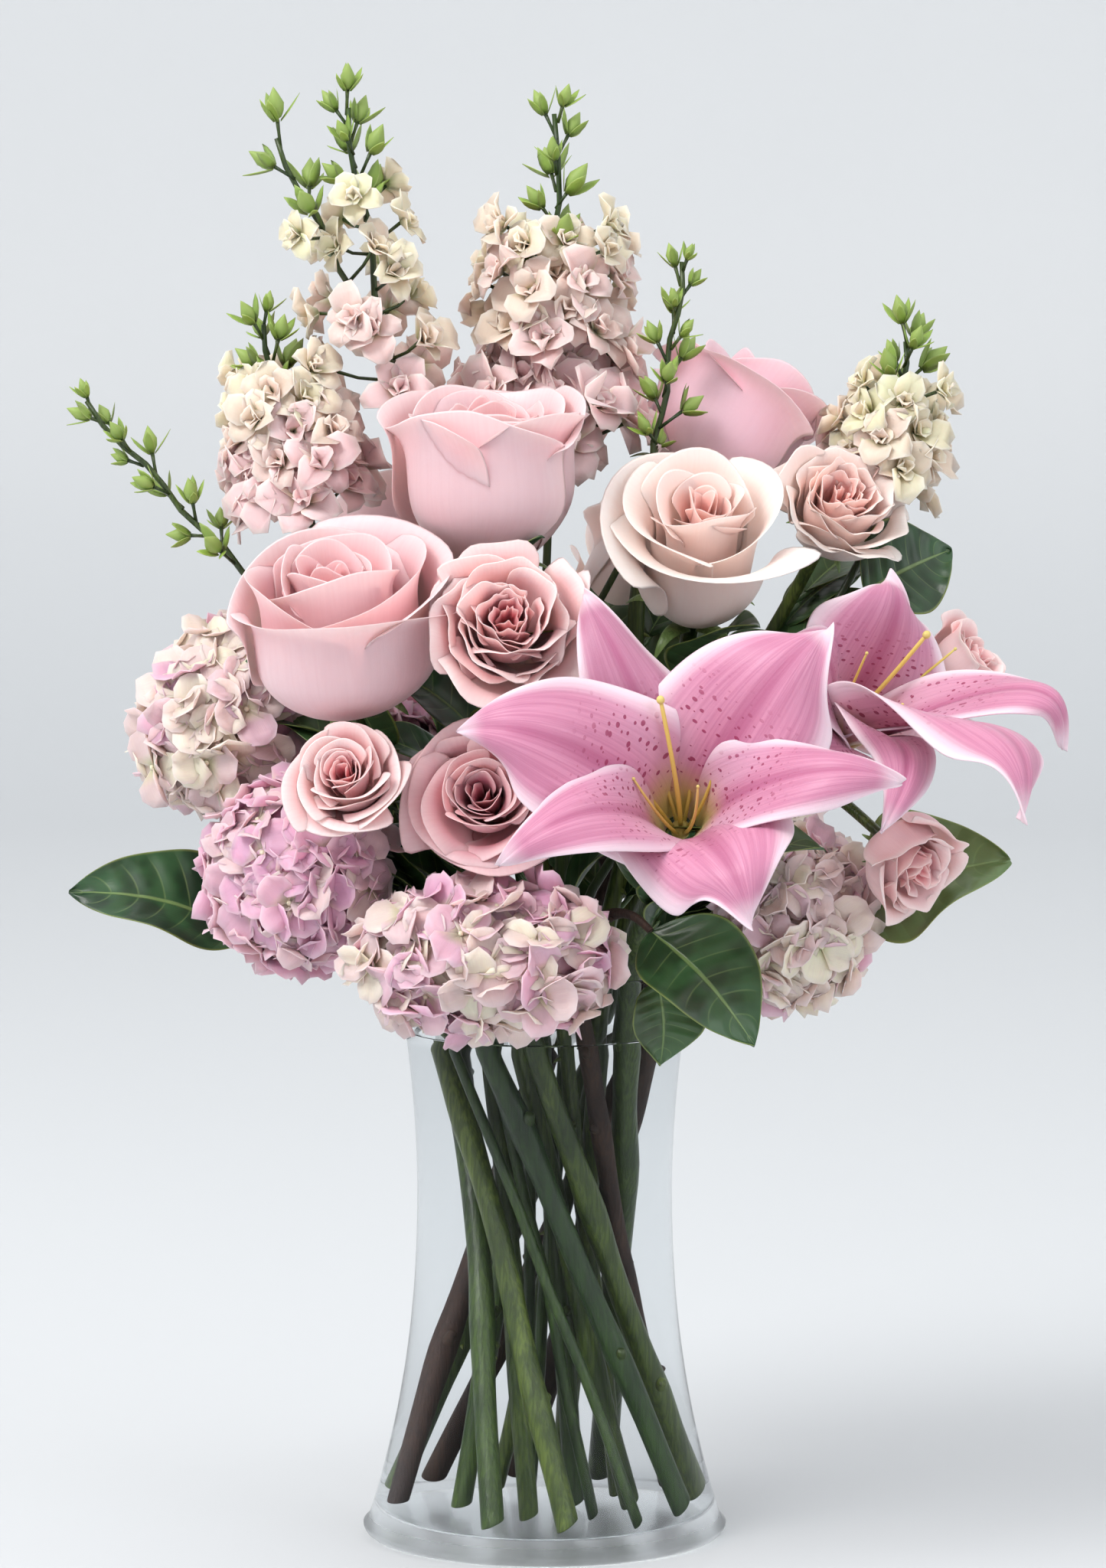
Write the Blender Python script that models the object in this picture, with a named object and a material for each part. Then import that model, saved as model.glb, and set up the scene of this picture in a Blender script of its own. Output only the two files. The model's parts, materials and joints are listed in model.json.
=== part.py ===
"""Two pink lilies with roses, spray roses, hydrangeas and larkspur, standing in a clear glass vase of water.

Metres, +Z up. The origin is the centre of the vase's foot, on the surface that it stands on, and -Y is the
front. Every flower stands on its own stem. The stems pass through the mouth of the vase, cross in a spiral
and stand on its floor.
"""

import math

import bmesh
import bpy
from mathutils import Matrix, Vector, noise

# ---- the vase ----
VASE_HEIGHT = 0.203
FOOT_RADIUS = 0.065
WAIST_RADIUS = 0.0455
WAIST_HEIGHT = 0.125
MOUTH_RADIUS = 0.053
GLASS_WALL = 0.003
GLASS_FLOOR = 0.008
FOOT_ROUNDING = 0.004
LIP_ROUNDING = 0.0012
WATER_BELOW_RIM = 0.022
VASE_FACETS = 32

# ---- the bunch of stems ----
GAP = 0.0003  # between two pieces that meet
STEM_INSET = 0.0078  # from the glass to the middle of an outer stem, at the mouth and at the floor
RING_SHARE = {"outer": 1.0, "inner": 0.57, "core": 0.2}  # of the outer stems' distance from the axis
SPIRAL_TURN = 115  # degrees that a stem travels round the vase from its mouth down to its floor
ROSE_STEM = 0.0033
SPRAY_STEM = 0.0026
LILY_STEM = 0.0044
HYDRANGEA_STEM = 0.0040
LARKSPUR_STEM = 0.0024
TWIG_STEM = 0.0034
LEAF_STALK = 0.0012

# ---- the flowers ----
ROSE_RADIUS = 0.036
ROSE_HEIGHT = 0.062
ROSE_BASE = 0.0045
SPRAY_ROSE_RADIUS = 0.022
SPRAY_ROSE_HEIGHT = 0.034
HYDRANGEA_BASE = 0.006
TEPAL_LENGTH = 0.100
TEPAL_THICKNESS = 0.0014
INNER_TEPAL_WIDTH = 0.040
OUTER_TEPAL_WIDTH = 0.026
LILY_THROAT = 0.0048
FILAMENT_LENGTH = 0.052
FILAMENT_RADIUS = 0.0009
LEAF_THICKNESS = 0.001

UP = Vector((0, 0, 1))
GOLDEN_ANGLE = 137.5

# Places round the vase: azimuth in degrees (-90 is the front), metres out from the lip, metres above the rim.
# Ways: azimuth and elevation in degrees. Mouths: the ring of stems and the azimuth where one leaves the mouth.

# name: place of its middle, way it opens, share of the rose's size, mouth
ROSES = {
    "rose_left": ((226, 0.051, 0.122), (-100, 38), 1.0, ("inner", 235)),
    "rose_top": ((245, -0.003, 0.171), (-95, 78), 1.0, ("core", 245)),
    "rose_pale": ((319, 0.016, 0.148), (-85, 46), 1.0, ("inner", 325)),
    "rose_right": ((25, 0.019, 0.191), (20, 50), 0.9, ("outer", 45)),
    "rose_back_left": ((126, 0.011, 0.142), (122, 50), 1.0, ("inner", 145)),
    "rose_back_right": ((63, 0.021, 0.132), (62, 42), 1.0, ("inner", 82)),
}

# stem: mouth, then its flowers, of which the last is at its end. Each flower: name, place of its middle,
# way it opens, share of the spray rose's size, how far up the stem it branches off.
SPRAY_ROSES = {
    "spray_rose_stem_left": (
        ("inner", 282),
        ("spray_rose_small", (236, 0.067, 0.075), (-99, 25), 0.82, 0.45),
        ("spray_rose_open", (257, 0.040, 0.067), (-95, 20), 1.05, 0.50),
        ("spray_rose_frilled", (262, 0.043, 0.126), (-88, 22), 1.1, 1),
    ),
    "spray_rose_stem_right": (
        ("inner", 8),
        ("spray_rose_bud", (333, 0.086, 0.045), (-50, -30), 0.76, 0.40),
        ("spray_rose_side", (358, 0.095, 0.108), (-20, 35), 0.62, 0.55),
        ("spray_rose_pale", (356, 0.049, 0.162), (-70, 40), 0.98, 1),
    ),
}

# name: place of its middle, way it faces, half width, half height, depth, mouth
HYDRANGEAS = {
    "hydrangea_left": ((184, 0.058, 0.090), (186, 20), 0.037, 0.037, 0.062, ("outer", 165)),
    "hydrangea_lower_left": ((213, 0.047, 0.040), (213, 8), 0.038, 0.036, 0.062, ("outer", 225)),
    "hydrangea_centre": ((259, 0.047, 0.014), (262, 2), 0.047, 0.028, 0.060, ("outer", 255)),
    "hydrangea_right": ((334, 0.043, 0.023), (330, -2), 0.031, 0.033, 0.052, ("outer", 345)),
    "hydrangea_back_left": ((139, 0.036, 0.059), (140, 22), 0.043, 0.040, 0.066, ("outer", 135)),
    "hydrangea_back_right": ((47, 0.034, 0.055), (46, 18), 0.042, 0.040, 0.066, ("outer", 75)),
}

# name: place of its throat, way it opens, roll of its first tepal, opening and curl in degrees, and the
# share of the full length that each tepal has; inner tepals come first, third and fifth
LILIES = {
    "lily_front": ((295, 0.056, 0.058), (-90, 25), 50, 58, 55, (1, 0.95, 1, 0.95, 0.9, 0.98)),
    "lily_back": ((337, 0.054, 0.084), (-50, 32), 69, 60, 70, (0.72, 0.5, 0.82, 0.8, 1, 1.04)),
}
LILY_MOUTH = ("outer", 315)
LILY_FORK = 0.25  # how far above the mouth the stem divides

# name: mouth, then its flowering shoots, of which the first is the end of its stem. Each shoot: place of its
# lowest floret, place of its tip, number and size of its florets, how far up the stem it branches off.
LARKSPURS = {
    "larkspur_top_left": (
        ("inner", 190),
        ((180, -0.001, 0.200), (182, 0.017, 0.304), 7, 0.014, 1),
        ((185, 0.005, 0.222), (183, 0.042, 0.293), 4, 0.011, 0.9),
    ),
    "larkspur_centre": (
        ("core", 125),
        ((80, -0.033, 0.205), (75, -0.030, 0.317), 18, 0.026, 1),
        ((348, -0.014, 0.178), (349, -0.003, 0.250), 7, 0.010, 0.4),
    ),
    "larkspur_left": (
        ("outer", 195),
        ((187, 0.030, 0.160), (186, 0.047, 0.228), 12, 0.024, 1),
        ((191, 0.055, 0.142), (187, 0.109, 0.201), 6, 0.011, 0.6),
    ),
    "larkspur_right": (("core", 5), ((8, 0.067, 0.165), (8, 0.078, 0.222), 8, 0.017, 1)),
}

# name: mouth, where its end leaf's stalk starts
TWIGS = {
    "twig_front": ("outer", 285),
    "twig_right": ("outer", 19),
}

# stem: its leaves. Each leaf: name, place of its base, place of its tip, width, way its upper side faces,
# how far up the stem it branches off.
LEAVES = {
    "hydrangea_lower_left_stem": (
        ("leaf_left", (184, 0.052, 0.012), (187, 0.115, 0.031), 0.036, (-95, 50), 0.35),
    ),
    "twig_front": (
        ("leaf_low", (301, 0.023, 0.002), (300, 0.028, -0.026), 0.024, (-60, 10), 0.3),
        ("leaf_front", (293, 0.040, 0.022), (303, 0.078, -0.013), 0.036, (-80, 35), 1),
    ),
    "twig_right": (
        ("leaf_right_low", (352, 0.060, 0.020), (349, 0.112, 0.043), 0.036, (-80, 45), 0.35),
        ("leaf_right_top", (359, 0.060, 0.134), (3, 0.092, 0.149), 0.030, (-90, 15), 1),
    ),
}


# ---------------------------------------------------------------- helpers


def clear_scene():
    for obj in list(bpy.data.objects):
        bpy.data.objects.remove(obj)


def material(name, colour, roughness=0.5, transmission=0.0):
    made = bpy.data.materials.new(name)
    made.use_nodes = True
    shader = made.node_tree.nodes["Principled BSDF"]
    shader.inputs["Base Color"].default_value = (*colour, 1)
    shader.inputs["Roughness"].default_value = roughness
    shader.inputs["Metallic"].default_value = 0
    shader.inputs["Transmission Weight"].default_value = transmission
    made.diffuse_color = (*colour, 1)
    return made


def add_object(name, mesh, finish):
    """Links a mesh to the scene as a named, smooth-shaded object."""
    obj = bpy.data.objects.new(name, mesh)
    bpy.context.scene.collection.objects.link(obj)
    mesh.materials.clear()
    mesh.materials.append(finish)
    mesh.shade_smooth()
    mesh.set_sharp_from_angle(angle=math.radians(50))
    return obj


def mesh_of(shape, name):
    """The bmesh as a mesh, its doubles merged and its faces turned outwards."""
    bmesh.ops.remove_doubles(shape, verts=shape.verts, dist=1e-5)
    bmesh.ops.recalc_face_normals(shape, faces=shape.faces)
    mesh = bpy.data.meshes.new(name)
    shape.to_mesh(mesh)
    shape.free()
    return mesh


def turned(profile, facets):
    """A solid turned about Z from (radius, height) points, which start and end on the axis."""
    shape = bmesh.new()
    verts = [shape.verts.new((radius, 0, height)) for radius, height in profile]
    edges = [shape.edges.new(pair) for pair in zip(verts, verts[1:])]
    bmesh.ops.spin(
        shape,
        geom=verts + edges,
        axis=UP,
        cent=(0, 0, 0),
        steps=facets,
        angle=math.tau,
        use_merge=True,
    )
    bmesh.ops.remove_doubles(shape, verts=shape.verts, dist=1e-5)
    return shape


def heading(azimuth, elevation):
    """The unit vector at this azimuth about the vase and elevation above the horizon, in degrees."""
    a, e = math.radians(azimuth), math.radians(elevation)
    return Vector((math.cos(a) * math.cos(e), math.sin(a) * math.cos(e), math.sin(e)))


def spot(azimuth, beyond, above):
    """The point this far out from the vase's lip and this far above its rim."""
    return heading(azimuth, 0) * (MOUTH_RADIUS + beyond) + UP * (VASE_HEIGHT + above)


def facing(axis, roll=0.0):
    """A rotation that turns Z to the axis, keeps X level and Y upwards, then rolls about the axis."""
    side = UP.cross(axis).normalized()
    turn = Matrix((side, axis.cross(side), axis)).transposed().to_4x4()
    return turn @ Matrix.Rotation(math.radians(roll), 4, "Z")


def smooth_way(start, start_way, end, end_way, steps):
    """Points of a cubic that leaves start along start_way and meets end along end_way, without start."""
    points = []
    for i in range(1, steps + 1):
        t = i / steps
        points.append(
            start * (2 * t**3 - 3 * t**2 + 1)
            + start_way * (t**3 - 2 * t**2 + t)
            + end * (3 * t**2 - 2 * t**3)
            + end_way * (t**3 - t**2)
        )
    return points


def tube_mesh(name, points, radius, end_radius=None, sides=8):
    """A closed round tube along the points, tapering to end_radius, made from a bevelled curve."""
    curve = bpy.data.curves.new(name, "CURVE")
    curve.dimensions = "3D"
    curve.bevel_depth = 1.0
    curve.bevel_resolution = (sides - 4) // 2
    curve.use_fill_caps = True
    spline = curve.splines.new("POLY")
    spline.points.add(len(points) - 1)
    last = radius if end_radius is None else end_radius
    for i, (knot, point) in enumerate(zip(spline.points, points)):
        knot.co = (*point, 1)
        knot.radius = radius + (last - radius) * i / (len(points) - 1)
    guide = bpy.data.objects.new(name, curve)
    bpy.context.scene.collection.objects.link(guide)
    bpy.context.view_layer.update()
    mesh = bpy.data.meshes.new_from_object(guide)
    bpy.data.objects.remove(guide)
    bpy.data.curves.remove(curve)
    shape = bmesh.new()
    shape.from_mesh(mesh)
    bpy.data.meshes.remove(mesh)
    return mesh_of(shape, name)


def lump_mesh(name, centre, way, length, width, rounds=1):
    """A rounded bud or floret, length long along way and width across."""
    shape = bmesh.new()
    bmesh.ops.create_icosphere(shape, subdivisions=rounds, radius=0.5)
    place = Matrix.Translation(centre) @ way.to_track_quat("Z", "Y").to_matrix().to_4x4()
    size = Matrix.Diagonal((width, width, length, 1))
    bmesh.ops.transform(shape, matrix=place @ size, verts=shape.verts)
    return mesh_of(shape, name)


def joined(name, meshes, finish):
    """One body made from overlapping meshes by Boolean unions."""
    body = add_object(name, meshes[0], finish)
    for i, mesh in enumerate(meshes[1:]):
        branch = add_object(f"{name}_join_{i}", mesh, finish)
        branch.hide_render = True
        branch.display_type = "WIRE"
        union = body.modifiers.new(f"join_{i}", "BOOLEAN")
        union.operation = "UNION"
        union.solver = "EXACT"
        union.object = branch
    return body


def blade(name, length, half_width, spine, cup, thickness, place, finish, along=6):
    """A thin curved blade, such as a petal or a leaf.

    half_width(t) is in metres, and spine(t) is how far out and how high the blade is as shares of its length,
    for t from 0 at the base to 1 at the tip. cup is how far its edges rise, as a share of the half width.
    """
    shape = bmesh.new()
    bmesh.ops.create_grid(shape, x_segments=4, y_segments=along, size=0.5)
    for vert in shape.verts:
        s, t = 2 * vert.co.x, vert.co.y + 0.5
        half = half_width(t)
        out, height = spine(t)
        vert.co = (s * half, out * length, height * length + cup * half * s * s)
    bmesh.ops.transform(shape, matrix=place, verts=shape.verts)
    body = add_object(name, mesh_of(shape, name), finish)
    shell = body.modifiers.new("thickness", "SOLIDIFY")
    shell.thickness = thickness
    shell.offset = 0
    return body


# ---------------------------------------------------------------- the vase and its water


def outer_radius(height):
    """The radius of the outside of the glass: a narrow waist, opening to the foot and to the mouth."""
    if height < WAIST_HEIGHT:
        share = (WAIST_HEIGHT - height) / WAIST_HEIGHT
        return WAIST_RADIUS + (FOOT_RADIUS - WAIST_RADIUS) * share**2.2
    share = (height - WAIST_HEIGHT) / (VASE_HEIGHT - WAIST_HEIGHT)
    return WAIST_RADIUS + (MOUTH_RADIUS - WAIST_RADIUS) * share**1.8


def inner_radius(height):
    return outer_radius(height) - GLASS_WALL


def heights(low, high, steps):
    return [low + (high - low) * i / steps for i in range(steps + 1)]


def build_vase(glass):
    foot = [
        (FOOT_RADIUS - FOOT_ROUNDING * (1 - math.sin(a)), FOOT_ROUNDING * (1 - math.cos(a)))
        for a in (0, math.pi / 4, math.pi / 2)
    ]
    top = VASE_HEIGHT - LIP_ROUNDING
    outside = [(outer_radius(z), z) for z in heights(5 * FOOT_ROUNDING, top, 6)]
    lip = [(MOUTH_RADIUS - GLASS_WALL / 2, VASE_HEIGHT)]
    inside = [(inner_radius(z), z) for z in reversed(heights(GLASS_FLOOR, top, 6))]
    profile = [(0, 0), *foot, *outside, *lip, *inside, (0, GLASS_FLOOR)]
    return add_object("vase", mesh_of(turned(profile, VASE_FACETS), "vase"), glass)


def build_water(finish, stem_meshes):
    """The inside of the vase up to the water's level, with a hole for each stem that stands in it."""
    low, high = GLASS_FLOOR + GAP, VASE_HEIGHT - WATER_BELOW_RIM
    wall = [(inner_radius(z) - 3 * GAP, z) for z in heights(low, high, 6)]
    body = add_object("water", mesh_of(turned([(0, low), *wall, (0, high)], VASE_FACETS), "water"), finish)
    holes = bmesh.new()
    for mesh in stem_meshes:
        holes.from_mesh(mesh)
    cutter = add_object("water_stem_holes", mesh_of(holes, "water_stem_holes"), finish)
    cutter.hide_render = True
    cutter.display_type = "WIRE"
    cut = body.modifiers.new("stem_holes", "BOOLEAN")
    cut.operation = "DIFFERENCE"
    cut.solver = "EXACT"
    cut.object = cutter
    return body


# ---------------------------------------------------------------- stems and leaves


class Bunch:
    """Stands each stem in the vase, and keeps the holes that they make in the water."""

    def __init__(self):
        self.holes = []

    def ends(self, mouth, radius):
        """The ends of a stem's straight part, on the floor and at the mouth, and the way that it rises."""
        ring, azimuth = mouth
        share = RING_SHARE[ring]
        top = heading(azimuth, 0) * share * (inner_radius(VASE_HEIGHT) - STEM_INSET) + UP * VASE_HEIGHT
        foot = heading(azimuth + SPIRAL_TURN, 0) * share * (inner_radius(GLASS_FLOOR) - STEM_INSET)
        foot += UP * (GLASS_FLOOR + GAP)
        way = (top - foot).normalized()
        low_edge = radius * math.sqrt(1 - way.z**2)  # of the cut end, which is square to the stem
        return foot + way * low_edge / way.z, top, way

    def route(self, mouth, radius, seat, way, steps=5, pull=0.9):
        """A stem's points from the floor of the vase to a flower's seat, which it meets along way."""
        foot, top, rise = self.ends(mouth, radius)
        self.holes.append(tube_mesh("hole", [foot - rise * 0.01, top - rise * 0.006], radius + GAP))
        return [foot, top, *branch(top, rise, seat, way, steps, pull)]


def branch(start, start_way, seat, way, steps=4, pull=0.9):
    """Points that leave start along start_way and meet a seat squarely."""
    square = seat - way * 0.004
    span = (square - start).length * pull
    return [*smooth_way(start, start_way * span, square, way * span, steps), seat]


def along(points, share):
    """The point and the way at this share of the route above the mouth, which is its second point."""
    upper = points[1:]
    place = share * (len(upper) - 1)
    i = min(int(place), len(upper) - 2)
    way = (upper[i + 1] - upper[i]).normalized()
    return upper[i].lerp(upper[i + 1], place - i), way


def leaf_half_width(width):
    """An egg-shaped leaf with a pointed tip."""
    return lambda t: width / 2 * (0.06 + 0.94 * abs(math.sin(math.pi * t**0.82)) ** 0.8)


def leaf_spine(t):
    """The midrib arches a little between the leaf's base and its tip."""
    return t, 0.09 * math.sin(math.pi * t)


def build_leaf(name, base, tip, width, over, finish):
    """A leaf from base to tip with its upper side towards over."""
    way = (tip - base).normalized()
    side = way.cross(over).normalized()
    turn = Matrix((side, way, side.cross(way))).transposed().to_4x4()
    place = Matrix.Translation(base + way * 2 * GAP) @ turn
    length = (tip - base).length
    blade(name, length, leaf_half_width(width), leaf_spine, 0.25, LEAF_THICKNESS, place, finish)


def add_stem(name, points, radius, finish, leaf_finish, forks=(), tip_radius=None):
    """One stem with the stalks of its side flowers (seat, way, radius, where it leaves) and of its leaves."""
    meshes = [tube_mesh(name, points, radius, tip_radius)]
    stalks = list(forks)
    for leaf, base, tip, width, over, leaves_at in LEAVES.get(name, ()):
        base, tip = spot(*base), spot(*tip)
        build_leaf(leaf, base, tip, width, heading(*over), leaf_finish)
        if leaves_at < 1:
            stalks.append((base, (tip - base).normalized(), LEAF_STALK, leaves_at))
    for seat, way, stalk, leaves_at in stalks:
        start, rise = along(points, leaves_at)
        meshes.append(tube_mesh(name, [start, *branch(start, rise, seat, way)], stalk, sides=6))
    return joined(name, meshes, finish)


def build_twigs(bunch, wood, leaf_green):
    for name, mouth in TWIGS.items():
        _, base, tip, *_ = LEAVES[name][-1]
        base, tip = spot(*base), spot(*tip)
        points = bunch.route(mouth, TWIG_STEM, base, (tip - base).normalized())
        add_stem(name, points, TWIG_STEM, wood, leaf_green, tip_radius=LEAF_STALK)


# ---------------------------------------------------------------- roses


def rose_profile(radius, height, base):
    """Half the section of an open rose: a cup of petals with a rolled rim round a pointed heart."""
    return [
        (0, 0),
        (base, 0),
        (0.60 * radius, 0.12 * height),
        (0.93 * radius, 0.38 * height),
        (radius, 0.88 * height),
        (0.90 * radius, height),
        (0.70 * radius, 0.86 * height),
        (0.44 * radius, 0.84 * height),
        (0.30 * radius, 0.95 * height),
        (0, 0.90 * height),
    ]


def build_rose(name, middle, way, radius, height, base, facets, finish):
    """A rose round its middle, opening along way; five petals scallop its rim. It returns its seat."""
    seat = middle - way * height / 2
    shape = turned(rose_profile(radius, height, base), facets)
    for vert in shape.verts:
        angle = math.atan2(vert.co.y, vert.co.x)
        lobe = 1 + 0.04 * vert.co.z / height * math.cos(5 * angle)
        vert.co.x *= lobe
        vert.co.y *= lobe
    place = Matrix.Translation(seat + way * GAP) @ facing(way)
    bmesh.ops.transform(shape, matrix=place, verts=shape.verts)
    add_object(name, mesh_of(shape, name), finish)
    return seat


def build_roses(bunch, petals, green, leaf_green):
    for name, (place, opens, share, mouth) in ROSES.items():
        way = heading(*opens)
        size = (ROSE_RADIUS * share, ROSE_HEIGHT * share, ROSE_BASE)
        seat = build_rose(name, spot(*place), way, *size, 15, petals)
        points = bunch.route(mouth, ROSE_STEM, seat, way)
        add_stem(f"{name}_stem", points, ROSE_STEM, green, leaf_green)


def build_spray_roses(bunch, petals, green, leaf_green):
    for stem_name, (mouth, *flowers) in SPRAY_ROSES.items():
        seats = []
        for name, place, opens, share, leaves_at in flowers:
            way = heading(*opens)
            size = (SPRAY_ROSE_RADIUS * share, SPRAY_ROSE_HEIGHT * share, SPRAY_STEM * 1.4)
            seat = build_rose(name, spot(*place), way, *size, 12, petals)
            seats.append((seat, way, SPRAY_STEM * 0.8, leaves_at))
        *side_seats, (seat, way, *_) = seats
        points = bunch.route(mouth, SPRAY_STEM, seat, way)
        add_stem(stem_name, points, SPRAY_STEM, green, leaf_green, side_seats)


# ---------------------------------------------------------------- hydrangeas


def build_hydrangeas(bunch, florets, green, leaf_green):
    for name, (place, faces, half_width, half_height, depth, mouth) in HYDRANGEAS.items():
        way = heading(*faces)
        seat = spot(*place) - way * depth / 2
        build_hydrangea(name, seat, way, half_width, half_height, depth, florets)
        points = bunch.route(mouth, HYDRANGEA_STEM, seat, way)
        add_stem(f"{name}_stem", points, HYDRANGEA_STEM, green, leaf_green)


def build_hydrangea(name, seat, way, half_width, half_height, depth, finish):
    """A lumpy domed head of florets on a flat seat."""
    profile = [
        (0, 0),
        (HYDRANGEA_BASE, 0),
        (0.70 * half_width, 0.08 * depth),
        (0.98 * half_width, 0.34 * depth),
        (0.96 * half_width, 0.62 * depth),
        (0.70 * half_width, 0.88 * depth),
        (0, depth),
    ]
    shape = turned(profile, 14)
    for vert in shape.verts:
        if vert.co.xy.length > 1.2 * HYDRANGEA_BASE:
            vert.co.y *= half_height / half_width
            vert.co *= 1 + 0.07 * noise.noise(vert.co * 60)
    place = Matrix.Translation(seat + way * GAP) @ facing(way)
    bmesh.ops.transform(shape, matrix=place, verts=shape.verts)
    return add_object(name, mesh_of(shape, name), finish)


# ---------------------------------------------------------------- lilies


def tepal_spine(opening, curl):
    """The middle line of a tepal: it rises from the throat, opens out and curls back at its tip."""
    steps = 30
    line = [(0.0, 0.0)]
    for i in range(steps):
        t = (i + 0.5) / steps
        lean = math.radians(22 + (opening - 22) * min(1, 2 * t) + curl * max(0, 2 * t - 1) ** 1.3)
        out, height = line[-1]
        line.append((out + math.sin(lean) / steps, height + math.cos(lean) / steps))
    return lambda t: line[round(t * steps)]


def tepal_half_width(width, length, spine, sector):
    """A broad blade with a pointed tip, which keeps to its own sector of the flower near the throat."""

    def half(t):
        blade_half = width / 2 * (0.12 + 0.88 * abs(math.sin(math.pi * t**0.85)) ** 0.9)
        return min(blade_half, (LILY_THROAT + spine(t)[0] * length) * math.sin(math.radians(sector)))

    return half


def build_lilies(bunch, petals, golden, green, leaf_green):
    """Both lilies, their tepals round the knob of the stamens, on one stem that forks above the vase."""
    seats = []
    for name, (place, opens, roll, opening, curl, shares) in LILIES.items():
        throat, axis = spot(*place), heading(*opens)
        for i, share in enumerate(shares):
            inner = i % 2 == 0
            length = TEPAL_LENGTH * share
            width, sector = (INNER_TEPAL_WIDTH, 31) if inner else (OUTER_TEPAL_WIDTH, 22)
            spine = tepal_spine(opening, curl)
            half_width = tepal_half_width(width, length, spine, sector)
            turn = facing(axis, roll + 60 * i - 90) @ Matrix.Translation((0, LILY_THROAT, 0))
            place = Matrix.Translation(throat) @ turn
            blade(
                f"{name}_tepal_{i + 1}",
                length,
                half_width,
                spine,
                -0.1,
                TEPAL_THICKNESS,
                place,
                petals,
            )
        build_stamens(f"{name}_stamens", throat, axis, roll, golden)
        seats.append((throat - axis * (LILY_THROAT + GAP), axis))
    (front_seat, front_way), (back_seat, back_way) = seats
    points = bunch.route(LILY_MOUTH, LILY_STEM, front_seat, front_way)
    fork = (back_seat, back_way, LILY_STEM * 0.8, LILY_FORK)
    add_stem("lily_stem", points, LILY_STEM, green, leaf_green, [fork], LILY_STEM * 0.8)


def build_stamens(name, throat, axis, roll, finish):
    """A pistil and six filaments that rise from a knob between the bases of the tepals."""
    frame = Matrix.Translation(throat) @ facing(axis, roll)
    knob = LILY_THROAT - TEPAL_THICKNESS - 2 * GAP
    meshes = [lump_mesh(name, frame @ Vector((0, 0, 0)), axis, 2 * knob, 2 * knob, rounds=2)]
    pistil = [(0, 0, 0), (0, 0.001, 0.5 * FILAMENT_LENGTH), (0, 0.004, 1.2 * FILAMENT_LENGTH)]
    meshes.append(tube_mesh(name, [frame @ Vector(p) for p in pistil], FILAMENT_RADIUS, sides=6))
    for i in range(6):
        out = Vector((math.cos(i * math.pi / 3), math.sin(i * math.pi / 3), 0))
        points = [
            out * knob * 0.3,
            out * knob * 1.4 + UP * FILAMENT_LENGTH * 0.45,
            out * knob * 3.2 + UP * FILAMENT_LENGTH,
        ]
        meshes.append(tube_mesh(name, [frame @ p for p in points], FILAMENT_RADIUS, sides=6))
    return joined(name, meshes, finish)


# ---------------------------------------------------------------- larkspur


def florets_along(name, base, top, count, size):
    """Florets in a spiral round a shoot, smaller towards its tip."""
    way = (top - base).normalized()
    meshes = []
    for i in range(count):
        t = i / count
        reach = size * (1 - 0.5 * t)
        side = facing(way, GOLDEN_ANGLE * i) @ Vector((1, 0, 0))
        out = (side + way * 0.35).normalized()
        centre = base.lerp(top, t) + out * reach * 0.45
        meshes.append(lump_mesh(name, centre, out, reach, reach * 0.75))
    return meshes


def build_larkspurs(bunch, finish):
    for name, (mouth, *shoots) in LARKSPURS.items():
        stem, meshes = [], []
        for low, tip, count, size, leaves_at in shoots:
            base, top = spot(*low), spot(*tip)
            way = (top - base).normalized()
            if not stem:
                stem = bunch.route(mouth, LARKSPUR_STEM, base, way)
                meshes.append(tube_mesh(name, [*stem, top], LARKSPUR_STEM, LEAF_STALK, sides=6))
            else:
                start, rise = along(stem, leaves_at)
                shoot = [start, *branch(start, rise, base, way), top]
                meshes.append(tube_mesh(name, shoot, LEAF_STALK * 1.3, LEAF_STALK, sides=6))
            meshes.extend(florets_along(name, base, top, count, size))
        joined(name, meshes, finish)


def build_all():
    clear_scene()
    glass = material("clear_glass", (0.93, 0.95, 0.95), 0.03, 1.0)
    water = material("water", (0.95, 0.97, 0.97), 0.0, 1.0)
    rose_pink = material("rose_petals", (0.87, 0.56, 0.56), 0.6)
    lily_pink = material("lily_petals", (0.80, 0.42, 0.60), 0.5)
    golden = material("stamens", (0.80, 0.62, 0.20), 0.5)
    mauve = material("hydrangea_florets", (0.78, 0.58, 0.62), 0.7)
    cream = material("larkspur_florets", (0.82, 0.74, 0.66), 0.7)
    green = material("stems", (0.20, 0.30, 0.10), 0.5)
    wood = material("woody_twigs", (0.22, 0.14, 0.13), 0.7)
    leaf_green = material("leaves", (0.05, 0.15, 0.06), 0.35)
    bunch = Bunch()
    build_vase(glass)
    build_lilies(bunch, lily_pink, golden, green, leaf_green)
    build_roses(bunch, rose_pink, green, leaf_green)
    build_spray_roses(bunch, rose_pink, green, leaf_green)
    build_hydrangeas(bunch, mauve, green, leaf_green)
    build_larkspurs(bunch, cream)
    build_twigs(bunch, wood, leaf_green)
    build_water(water, bunch.holes)


build_all()
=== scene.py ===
"""Two pink lilies with roses, spray roses, hydrangeas and larkspur, standing in a clear glass vase of water.

Metres, +Z up. The origin is the centre of the vase's foot, on the surface that it stands on, and -Y is the
front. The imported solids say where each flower, leaf and stem is; the classes here give each one its petals,
veins and finish. A way is an azimuth about the vase and an elevation above the horizon, both in degrees, and
a place is an azimuth, metres out from the lip and metres above the rim.
"""

from __future__ import annotations

import json
import logging
import math
import random
from collections.abc import Callable, Sequence
from dataclasses import dataclass, field
from enum import Enum

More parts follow.
